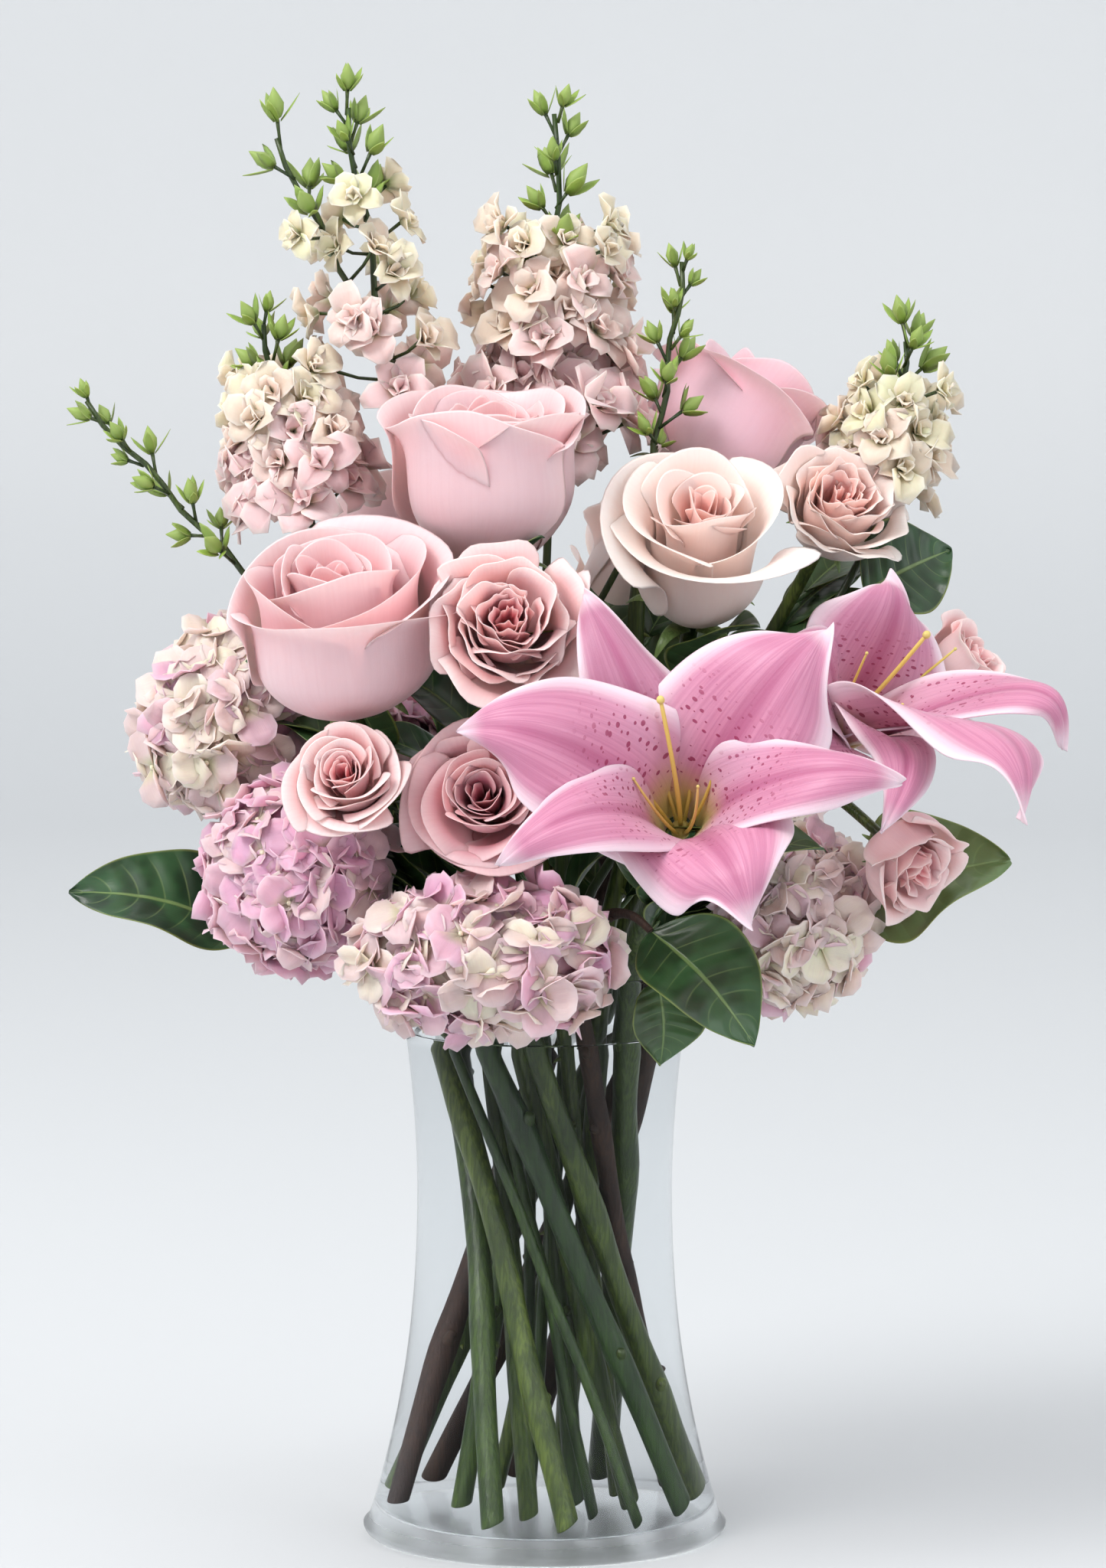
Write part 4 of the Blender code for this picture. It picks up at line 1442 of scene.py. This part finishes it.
@dataclass
class Stems:
    """The stems: they stand on the floor of the vase, cross in a spiral and fan out to their flowers."""

    bench: Bench
    vase: Vase
    inset: float = 0.0078
    turn: float = 115.0
    gap: float = 0.0003
    pull: float = 0.9
    wander: float = 0.0011
    straight_steps: int = 14
    branch_steps: int = 12
    routes: dict[str, list[Vector]] = field(default_factory=dict)

    def ends(self, mouth: tuple[str, float], radius: float) -> tuple[Vector, Vector, Vector]:
        """The ends of a stem's straight stretch.

        Args:
            mouth: its ring of stems and the azimuth where it leaves the mouth.
            radius: its radius.

        Returns:
            Its foot, its point in the mouth, and the way that it rises.
        """
        ring, azimuth = mouth
        share = {"outer": 1.0, "inner": 0.57, "core": 0.2}[ring]
        rim, floor = self.vase.height, self.vase.floor
        top = heading(azimuth) * share * (self.vase.inner(rim) - self.inset) + UP * rim
        foot = heading(azimuth + self.turn) * share * (self.vase.inner(floor) - self.inset)
        foot += UP * (floor + self.gap)
        way = (top - foot).normalized()
        return foot + way * radius * math.sqrt(1 - way.z**2) / way.z, top, way

    def branch(self, start: Vector, rise: Vector, seat: Vector, way: Vector) -> list[Vector]:
        """Points that leave start along rise and meet a seat squarely, without start."""
        square = seat - way * 0.004
        span = (square - start).length * self.pull
        points = []
        for i in range(1, self.branch_steps + 1):
            t = i / self.branch_steps
            points.append(
                start * (2 * t**3 - 3 * t**2 + 1)
                + rise * span * (t**3 - 2 * t**2 + t)
                + square * (3 * t**2 - 2 * t**3)
                + way * span * (t**3 - t**2)
            )
        return [*points, seat]

    def route(
        self, mouth: tuple[str, float], radius: float, seat: Vector, way: Vector, seed: int
    ) -> list[Vector]:
        """A stem's middle line from the floor of the vase to a flower's seat.

        Args:
            mouth: its ring of stems and the azimuth where it leaves the mouth.
            radius: its radius.
            seat: where it meets its flower.
            way: the way that it meets it.
            seed: the source of its small bends.

        Returns:
            The points.
        """
        foot, top, rise = self.ends(mouth, radius)
        straight = []
        for i in range(self.straight_steps + 1):
            t = i / self.straight_steps
            point = foot.lerp(top, t)
            bend = Vector(noise.noise(point * 18 + Vector((seed, 7 * k, 0))) for k in (1, 2, 0))
            straight.append(point + bend * self.wander * math.sin(math.pi * t) * 2)
        return [*straight, *self.branch(top, rise, seat, way)]

    def along(self, route: list[Vector], share: float) -> tuple[Vector, Vector]:
        """The point and the way at this share of a route above the mouth."""
        upper = route[self.straight_steps :]
        place = share * (len(upper) - 1)
        i = min(int(place), len(upper) - 2)
        return upper[i].lerp(upper[i + 1], place - i), (upper[i + 1] - upper[i]).normalized()

    def build(
        self,
        node: str,
        mouth: tuple[str, float],
        radius: float,
        seat: Vector,
        way: Vector,
        tone: float,
        forks: Sequence[tuple[Vector, Vector, float, float]] = (),
        thorns: int = 0,
        joints: int = 0,
        is_woody: bool = False,
        tip_share: float = 1.0,
    ) -> None:
        """Makes one stem.

        Args:
            node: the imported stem.
            mouth: its ring of stems and the azimuth where it leaves the mouth.
            radius: its radius.
            seat: where it meets its flower.
            way: the way that it meets it.
            tone: its shade of green or brown.
            forks: its stalks: seat, way, radius and how far up the stem each leaves it.
            thorns: how many thorns it has.
            joints: how many swollen leaf joints it has.
            is_woody: whether it has bark.
            tip_share: its radius at its end, as a share of its radius.
        """
        dice, bloom = random.Random(node), Bloom()
        route = self.route(mouth, radius, seat, way, len(node))
        self.routes[node] = route
        last = len(route) - 1
        swell = [0.0] * (last + 1)
        for k in range(joints):
            swell[2 + int((last - 5) * (k + dice.uniform(0.2, 0.8)) / joints)] = dice.uniform(0.18, 0.34)
        radii = []
        for i in range(last + 1):
            taper = blend(1.06, 0.94, i / last) * blend(1.0, tip_share, (i / last) ** 2)
            radii.append(radius * taper * (1 + swell[i] + dice.uniform(-0.03, 0.03)))
        bloom.tube(route, radii, 14, 0.0, tone, 0.55, True)
        for seat_at, seat_way, stalk, leaves_at in forks:
            start, rise = self.along(route, leaves_at)
            points = [start, *self.branch(start, rise, seat_at, seat_way)]
            count = len(points) - 1
            widths = [stalk * blend(1.25, 0.95, i / count) for i in range(count + 1)]
            bloom.tube(points, widths, 10, 0.0, tone)
        for i, bulge in enumerate(swell):
            if bulge:
                self.add_scar(bloom, route, i, radii[i], tone, dice)
        for k in range(thorns):
            i = 3 + int((last - 6) * (k + dice.random() * 0.8) / thorns)
            self.add_thorn(bloom, route, i, radii[i], dice)
        slot = Slot.TWIGS if is_woody else Slot.STEMS
        add_piece(node + "_skin", bloom, self.bench.pick(slot.value), slot, [node], 1)

    def add_scar(
        self, bloom: Bloom, route: list[Vector], i: int, radius: float, tone: float, dice: random.Random
    ) -> None:
        """Adds the stub of a cut leaf stalk at a joint."""
        way = (route[i + 1] - route[i - 1]).normalized()
        side = facing(way, dice.uniform(0, 360)) @ Vector((1, 0, 0))
        out = (side + way * 0.9).normalized()
        reach = radius * dice.uniform(1.3, 1.9)
        points = [route[i], route[i] + out * reach * 0.6, route[i] + out * reach]
        bloom.tube(points, [radius * 0.55, radius * 0.45, radius * 0.38], 8, 0.0, min(1.0, tone + 0.25))

    def add_thorn(
        self, bloom: Bloom, route: list[Vector], i: int, radius: float, dice: random.Random
    ) -> None:
        """Adds one thorn, broad at its foot and hooked downwards."""
        way = (route[i + 1] - route[i - 1]).normalized()
        side = facing(way, dice.uniform(0, 360)) @ Vector((1, 0, 0))
        point = route[i].lerp(route[i + 1], dice.random()) + side * radius * 0.6
        hook = ((0.0, 0.0), (0.0012, 0.0), (0.0026, 0.0004), (0.0036, 0.0012))
        tips = [point + side * out - way * down for out, down in hook]
        bloom.tube(tips, [0.0013, 0.0010, 0.0006, 0.0001], 6, 0.0, 0.8)


@dataclass
class Leaf:
    """A broad pointed leaf, folded a little along its midrib, with a wavy edge."""

    bench: Bench
    name: str
    base: Vector
    tip: Vector
    width: float
    over: Vector
    tone: float = 0.0
    arch: float = 0.09
    thickness: float = 0.0005
    stands_for: tuple[str, ...] = ()
    stalk_from: Vector | None = None

    def blade(self, across: int, along: int, bloom: Bloom) -> None:
        """Adds the leaf's blade to a shape.

        Args:
            across: how many faces it has across.
            along: how many it has along.
            bloom: the shape to add to.
        """
        way = (self.tip - self.base).normalized()
        side = way.cross(self.over).normalized()
        turn = Matrix((side, way, side.cross(way))).transposed().to_4x4()
        length = (self.tip - self.base).length
        dice = random.Random(self.name)
        phase, twist = dice.uniform(0, math.tau), dice.uniform(-0.2, 0.2)

        def form(s: float, t: float) -> Vector:
            """The point at s across and t along the leaf."""
            half = self.width / 2 * (0.05 * (1 - t) + abs(math.sin(math.pi * t**0.80)) ** 0.85)
            fold = 0.30 * half * abs(s) ** 1.3
            waves = 0.05 * self.width * abs(s) ** 2 * math.sin(10 * t + phase + 1.5 * s)
            veins = 0.0004 * math.cos(44 * (t - 0.16 * abs(s))) * (1 - abs(s)) * abs(s) * 4
            arch = length * self.arch * (math.sin(math.pi * t) - 0.5 * t**3)
            return Vector((s * half, t * length, arch + fold + waves + veins + twist * s * half * t))

        bloom.sheet(across, along, form, Matrix.Translation(self.base) @ turn, 1.0, self.tone)

    def stalk(self, bloom: Bloom) -> None:
        """Adds the leaf's stalk to a shape, if it has one."""
        if self.stalk_from is None:
            return
        way = (self.tip - self.base).normalized()
        middle = self.stalk_from.lerp(self.base, 0.5) - self.over * 0.002
        bloom.tube([self.stalk_from, middle, self.base + way * 0.004], [0.0013, 0.0011, 0.0009], 8)

    def build(self) -> None:
        """Makes the leaf."""
        bloom = Bloom()
        self.blade(14, 36, bloom)
        bloom.thicken(self.thickness)
        self.stalk(bloom)
        add_piece(self.name, bloom, self.bench.pick("leaves"), Slot.LEAVES, self.stands_for, 1)


# ---------------------------------------------------------------- the studio


@dataclass
class Studio:
    """A pale floor that sweeps up all round, a soft lamp from the upper left, and the camera."""

    floor_radius: float = 3.0
    sweep: float = 1.2
    wall: float = 1.2
    facets: int = 96
    sweep_steps: int = 12
    lens: float = 129.7
    sensor: float = 36.0
    camera_at: Vector = Vector((0.003, -2.0, 0.425))
    camera_tilt: float = 85.53
    lamps_aim: Vector = Vector((0, 0, 0.25))
    daylight: float = 1.07

    def build(self) -> None:
        """Makes the stage, the lamps and the camera."""
        self.build_stage()
        world = bpy.data.worlds.new("daylight")
        world.use_nodes = True
        background = world.node_tree.nodes["Background"]
        graph = Graph(world.node_tree)
        height = graph.split(graph.add("ShaderNodeTexCoord").outputs["Generated"], 2)
        sky = graph.mix(graph.step(height, -0.2, 0.9), colour("f4f8fc"), colour("ffffff"))
        graph.link({"Color": sky}, background)
        background.inputs["Strength"].default_value = self.daylight
        bpy.context.scene.world = world
        self.add_lamp("key_lamp", Vector((-1.5, -1.5, 2.3)), 1.5, 68.0, (1.0, 0.985, 0.965))
        self.add_lamp("fill_lamp", Vector((1.9, -1.7, 1.3)), 1.8, 14.0, (0.94, 0.97, 1.0))
        camera = bpy.data.cameras.new("camera")
        camera.lens = self.lens
        camera.sensor_width = self.sensor
        eye = bpy.data.objects.new("camera", camera)
        eye.location = self.camera_at
        eye.rotation_euler = (math.radians(self.camera_tilt), 0, 0)
        bpy.context.scene.collection.objects.link(eye)
        bpy.context.scene.camera = eye
        bpy.context.scene.view_settings.view_transform = "Standard"

    def build_stage(self) -> None:
        """Makes the floor and the wall that it sweeps up to."""
        shape = bmesh.new()
        profile = [(0.0, 0.0), (self.floor_radius, 0.0)]
        for i in range(1, self.sweep_steps + 1):
            a = math.pi / 2 * i / self.sweep_steps
            out, up = self.sweep * math.sin(a), self.sweep * (1 - math.cos(a))
            profile.append((self.floor_radius + out, up))
        profile.append((self.floor_radius + self.sweep, self.sweep + self.wall))
        spin_profile(shape, profile, self.facets)
        bmesh.ops.remove_doubles(shape, verts=shape.verts, dist=STAGE_WELD)
        bmesh.ops.recalc_face_normals(shape, faces=shape.faces)
        mesh = bpy.data.meshes.new("stage")
        shape.to_mesh(mesh)
        shape.free()
        mesh.shade_smooth()
        stage = bpy.data.objects.new("stage", mesh)
        bpy.context.scene.collection.objects.link(stage)
        made, graph, shader = Surface(roughness=0.7, bump=0.02).start("stage_paper")
        place = graph.add("ShaderNodeTexCoord").outputs["Object"]
        specks = graph.clouds(place, (3, 3, 3), 2)
        wall = graph.mix(specks, colour("dadcde"), colour("dee0e2"))
        # Painted shade: the floor is painted darker than the wall, so that the lamp light falling on it reads
        # as even with the wall.
        tint = graph.mix(graph.step(graph.split(place, 2), 0.0, 0.5), colour("cdd0d3"), wall)
        graph.link({"Base Color": tint}, shader)
        mesh.materials.append(made)

    def add_lamp(
        self, name: str, place: Vector, size: float, power: float, tint: tuple[float, float, float]
    ) -> None:
        """Adds a soft square lamp that faces the flowers.

        Args:
            name: its name.
            place: where it is.
            size: its side.
            power: its power in watts.
            tint: its colour.
        """
        lamp = bpy.data.lights.new(name, "AREA")
        lamp.size = size
        lamp.energy = power
        lamp.color = tint
        holder = bpy.data.objects.new(name, lamp)
        holder.location = place
        holder.rotation_euler = (place - self.lamps_aim).to_track_quat("Z", "Y").to_euler()
        bpy.context.scene.collection.objects.link(holder)


# ---------------------------------------------------------------- the bouquet


@dataclass
class Bouquet:
    """Every flower, leaf and stem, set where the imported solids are."""

    bench: Bench
    vase: Vase
    stems: Stems
    rose_stem: float = 0.0033
    spray_stem: float = 0.0026
    lily_stem: float = 0.0044
    hydrangea_stem: float = 0.0040
    twig_stem: float = 0.0034
    leaves_a_stem: int = 8
    foliage_seed: int = 77

    def build_roses(self) -> None:
        """Makes the six roses and their stems."""
        pink, pale, mauve = "rose_petals", "pale_rose_petals", "mauve_rose_petals"
        cup = dict(
            petals=17, tilt=-24.0, lip=0.17, corner_fall=0.12, wave=0.06, frill=0.010, unruly=1.3,
            outer_wrap=94.0, heart_share=0.56, heart_width=0.42, rim_fall=0.06, outer_lean=0.02,
        )
        goblet = dict(
            petals=17, belly_at=0.50, outer_lean=-0.06, inner_lean=-0.15, lip=0.16, rim_fall=0.0, wave=0.07,
            heart_depth=0.02, frill=0.022, heart_width=0.55, outer_wrap=76.0, corner_fall=0.07, spread=0.98,
        )
        flared = dict(
            petals=16, outer_lean=0.16, spread=0.66, lip=0.22, droop=0.30, wave=0.07, rim_fall=0.12,
            outer_wrap=98.0, heart_width=0.38, corner_fall=0.06, heart_share=0.62,
        )
        bud = dict(petals=15, outer_lean=-0.12, lip=0.26, outer_wrap=84.0, tilt=-5.0, wave=0.07, frill=0.02)
        roses = (
            ("rose_left", (-100, 38), pink, ("inner", 235), 0.35, 3, cup),
            ("rose_top", (-95, 78), pink, ("core", 245), 0.2, 11, goblet),
            ("rose_pale", (-85, 46), pale, ("inner", 325), 0.45, 5, flared),
            ("rose_right", (20, 50), mauve, ("outer", 45), 0.3, 7, bud),
            ("rose_back_left", (122, 50), pink, ("inner", 145), 0.4, 8, cup),
            ("rose_back_right", (62, 42), pale, ("inner", 82), 0.25, 9, flared),
        )
        for node, way, finish, mouth, tone, seed, shape in roses:
            slot = Slot.PALE_ROSE if finish == pale else Slot.ROSE
            stands = Rose(self.bench, node, way, finish, slot, seed=seed, **shape).build()
            name = node + "_stem"
            self.stems.build(name, mouth, self.rose_stem, stands.seat, stands.axis, tone, thorns=7, joints=3)

    def build_spray_roses(self) -> None:
        """Makes the six spray roses and their two stems."""
        dusty, deep, pale = "spray_rose_petals", "deep_spray_rose_petals", "pale_rose_petals"
        rosette = dict(
            petals=24, belly_at=0.70, inner_lean=-0.15, outer_lean=0.10, lip=0.20, frill=0.05, wave=0.11,
            across=9, along=8, rim_fall=0.26, heart_depth=0.12, heart_width=0.46, unruly=1.5,
            inner_wrap=80.0, outer_wrap=62.0, corner_fall=0.12,
        )
        smooth_rosette = dict(rosette, frill=0.02, wave=0.08, outer_wrap=80.0, heart_share=0.6)
        frilly = dict(rosette, frill=0.075, frills=9.0, petals=30, lip=0.16)
        small_bud = dict(
            rosette, petals=17, spread=1.12, belly_at=0.5, outer_lean=-0.08, rim_fall=0.02, frill=0.07
        )
        stems = {
            "spray_rose_stem_left": (
                ("inner", 282),
                ("spray_rose_small", (-99, 25), dusty, 0.45, 21, smooth_rosette),
                ("spray_rose_open", (-95, 20), deep, 0.50, 22, smooth_rosette),
                ("spray_rose_frilled", (-88, 22), dusty, 1.0, 23, frilly),
            ),
            "spray_rose_stem_right": (
                ("inner", 8),
                ("spray_rose_bud", (-50, -30), dusty, 0.40, 24, small_bud),
                ("spray_rose_side", (-20, 35), dusty, 0.55, 25, small_bud),
                ("spray_rose_pale", (-70, 40), pale, 1.0, 26, frilly),
            ),
        }
        for name, (mouth, *flowers) in stems.items():
            forks = []
            for node, way, finish, leaves_at, seed, shape in flowers:
                rose = Rose(self.bench, node, way, finish, Slot.SPRAY_ROSE, seed=seed, **shape)
                stands = rose.build()
                forks.append((stands.seat, stands.axis, self.spray_stem * 0.8, leaves_at))
            *side, (seat, axis, *_) = forks
            self.stems.build(name, mouth, self.spray_stem, seat, axis, 0.5, side, thorns=6, joints=4)

    def build_lilies(self) -> None:
        """Makes the two lilies and the stem that forks to them."""
        front_tips = (
            (0.094, -0.122, 0.330), (0.013, -0.105, 0.341), (-0.029, -0.142, 0.297),
            (-0.015, -0.170, 0.255), (0.068, -0.170, 0.236), (0.118, -0.153, 0.281),
        )
        back_tips = (
            (0.118, -0.048, 0.344), (0.080, -0.080, 0.324), (0.076, -0.090, 0.288),
            (0.112, -0.126, 0.262), (0.159, -0.130, 0.266), (0.176, -0.090, 0.287),
        )
        lilies = (
            # The fourth tuple of each lily is the painted shade on each of its tepals.
            Lily(
                self.bench, "lily_front", (-90, 25), front_tips, (0.30, 0.20, 0.38, 0.44, 0.40, 0.38),
                (0.054, 0.034, 0.050, 0.032, 0.050, 0.031), (0.1, 0.9, 0.15, 0.2, 0.1, 0.3),
                Vector((-0.22, -0.10, 1.0)),
            ),
            Lily(
                self.bench, "lily_back", (-50, 32), back_tips, (0.32, 0.3, 0.3, 0.35, 0.34, 0.50),
                (0.052, 0.032, 0.036, 0.027, 0.044, 0.026), (0.35, 0.3, 0.0, 0.2, 0.25, 0.3),
                Vector((0.62, -0.1, 0.8)), filament_length=0.042,
            ),
        )
        front, back = (lily.build() for lily in lilies)
        fork = [(back.seat, back.axis, self.lily_stem * 0.8, 0.25)]
        stem = ("lily_stem", ("outer", 315), self.lily_stem, front.seat, front.axis, 0.25)
        self.stems.build(*stem, fork, joints=5, tip_share=0.8)

    def build_hydrangeas(self) -> None:
        """Makes the six hydrangea heads and their stems."""
        heads = (
            ("hydrangea_left", (186, 20), 0.5, 0.28, ("outer", 165), 31),
            ("hydrangea_lower_left", (213, 8), 0.2, 0.85, ("outer", 225), 32),
            ("hydrangea_centre", (262, 2), 0.4, 0.42, ("outer", 255), 33),
            ("hydrangea_right", (330, -2), 0.4, 0.18, ("outer", 345), 34),
            ("hydrangea_back_left", (140, 22), 0.3, 0.6, ("outer", 135), 35),
            ("hydrangea_back_right", (46, 18), 0.3, 0.4, ("outer", 75), 36),
        )
        for node, way, cream, flush, mouth, seed in heads:
            stands = Hydrangea(self.bench, node, way, cream, flush, seed).build()
            name, tone = node + "_stem", 1.6 * (cream - 0.15)
            is_woody = node in ("hydrangea_right", "hydrangea_back_right")
            size = (self.hydrangea_stem, stands.seat, stands.axis)
            self.stems.build(name, mouth, *size, tone, joints=4, is_woody=is_woody)

    def build_larkspurs(self) -> None:
        """Makes the four stems of larkspur."""
        shoots = {
            "larkspur_top_left": (
                ("inner", 190),
                Shoot(
                    (180, -0.001, 0.200), (182, 0.017, 0.304),
                    15, 0.025, 1.0, 9, 0.012, 0.7, stalk=0.75, full_to=0.75,
                ),
                Shoot(
                    (185, 0.005, 0.222), (183, 0.042, 0.293),
                    6, 0.023, 0.9, 4, 0.014, 0.8, stalk=0.70, full_to=0.6,
                ),
            ),
            "larkspur_centre": (
                ("core", 125),
                Shoot(
                    (84, -0.035, 0.178), (78, -0.030, 0.303),
                    60, 0.031, 1.0, 10, 0.013, 0.2, stalk=0.78, full_to=0.64,
                ),
                Shoot((348, -0.014, 0.178), (349, -0.003, 0.250), 0, 0.010, 0.4, 13, 0.010, 0.5, True),
            ),
            "larkspur_left": (
                ("outer", 195),
                Shoot(
                    (187, 0.030, 0.160), (186, 0.047, 0.228),
                    42, 0.028, 1.0, 7, 0.012, 0.3, stalk=0.72, full_to=0.72,
                ),
                Shoot((191, 0.055, 0.142), (187, 0.109, 0.201), 0, 0.011, 0.6, 12, 0.010, 0.5, True),
            ),
            "larkspur_right": (
                ("core", 5),
                Shoot(
                    (8, 0.067, 0.165), (8, 0.078, 0.222),
                    22, 0.026, 1.0, 7, 0.012, 0.75, stalk=0.65, full_to=0.70,
                ),
            ),
        }
        for seed, (node, (mouth, *parts)) in enumerate(shoots.items()):
            Larkspur(self.bench, self.vase, node, mouth, tuple(parts), 41 + seed).build(self.stems)

    def build_leaves(self) -> None:
        """Makes the five packed leaves, their twigs, and the foliage between the blooms."""
        leaves = {
            "leaf_left": ((184, 0.052, 0.012), (187, 0.115, 0.031), 0.042, (-95, 50), 0.0),
            "leaf_low": ((301, 0.023, 0.002), (300, 0.028, -0.026), 0.028, (-60, 10), 0.25),
            "leaf_front": ((293, 0.040, 0.022), (303, 0.078, -0.013), 0.041, (-80, 35), 0.1),
            "leaf_right_low": ((352, 0.060, 0.020), (349, 0.112, 0.043), 0.056, (-80, 45), 1.0),
            "leaf_right_top": ((359, 0.060, 0.134), (3, 0.092, 0.149), 0.036, (-90, 15), 0.05),
        }
        spot = self.vase.spot
        for node, (low, high, width, over, tone) in leaves.items():
            base, tip = spot(low), spot(high)
            name = node + "_blade"
            Leaf(self.bench, name, base, tip, width, heading(*over), tone, stands_for=(node,)).build()
        self.build_foliage()
        for node, mouth, last in (
            ("twig_front", ("outer", 285), "leaf_front"),
            ("twig_right", ("outer", 19), "leaf_right_top"),
        ):
            base, tip = (spot(place) for place in leaves[last][:2])
            way = (tip - base).normalized()
            self.stems.build(
                node, mouth, self.twig_stem, base, way, 0.4, joints=7, is_woody=True, tip_share=0.4
            )

    def build_foliage(self) -> None:
        """Makes the small dark leaves between the blooms, on the stems of all but the larkspur."""
        dice, blades, bloom = random.Random(self.foliage_seed), [], Bloom()
        for node, route in self.stems.routes.items():
            if not any(flower in node for flower in ("rose", "hydrangea", "lily")):
                continue
            for k in range(self.leaves_a_stem):
                share = (k + dice.random()) / self.leaves_a_stem
                spot, way = self.stems.along(route, blend(0.12, 0.80, share))
                side = Vector((spot.x, spot.y, 0)).normalized()
                side = Matrix.Rotation(dice.uniform(-1.3, 1.3), 3, "Z") @ side
                out = (side + way * dice.uniform(0.5, 1.4)).normalized()
                base = spot + out * 0.008
                length = dice.uniform(0.038, 0.056)
                over = (UP + Vector((0, -0.5, 0)) - out * 0.6).normalized()
                name, tone = f"{node}_{k}", dice.uniform(0.0, 0.35)
                size = (base, base + out * length, 0.55 * length)
                blades.append(Leaf(self.bench, name, *size, over, tone, stalk_from=spot))
        for leaf in blades:
            leaf.blade(6, 12, bloom)
        bloom.thicken(Leaf.thickness)
        for leaf in blades:
            leaf.stalk(bloom)
        add_piece("rose_and_hydrangea_foliage", bloom, self.bench.pick("leaves"), Slot.LEAVES, (), 1)


def main() -> None:
    """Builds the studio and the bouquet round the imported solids."""
    logging.basicConfig(level=logging.INFO, format="%(message)s")
    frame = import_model()
    Studio().build()
    bench = Bench.set_out(frame["nodes"])
    vase = Vase(bench)
    stems = Stems(bench, vase)
    bouquet = Bouquet(bench, vase, stems)
    vase.build()
    bouquet.build_roses()
    bouquet.build_spray_roses()
    bouquet.build_lilies()
    bouquet.build_hydrangeas()
    bouquet.build_larkspurs()
    bouquet.build_leaves()


if __name__ == "__main__":
    main()
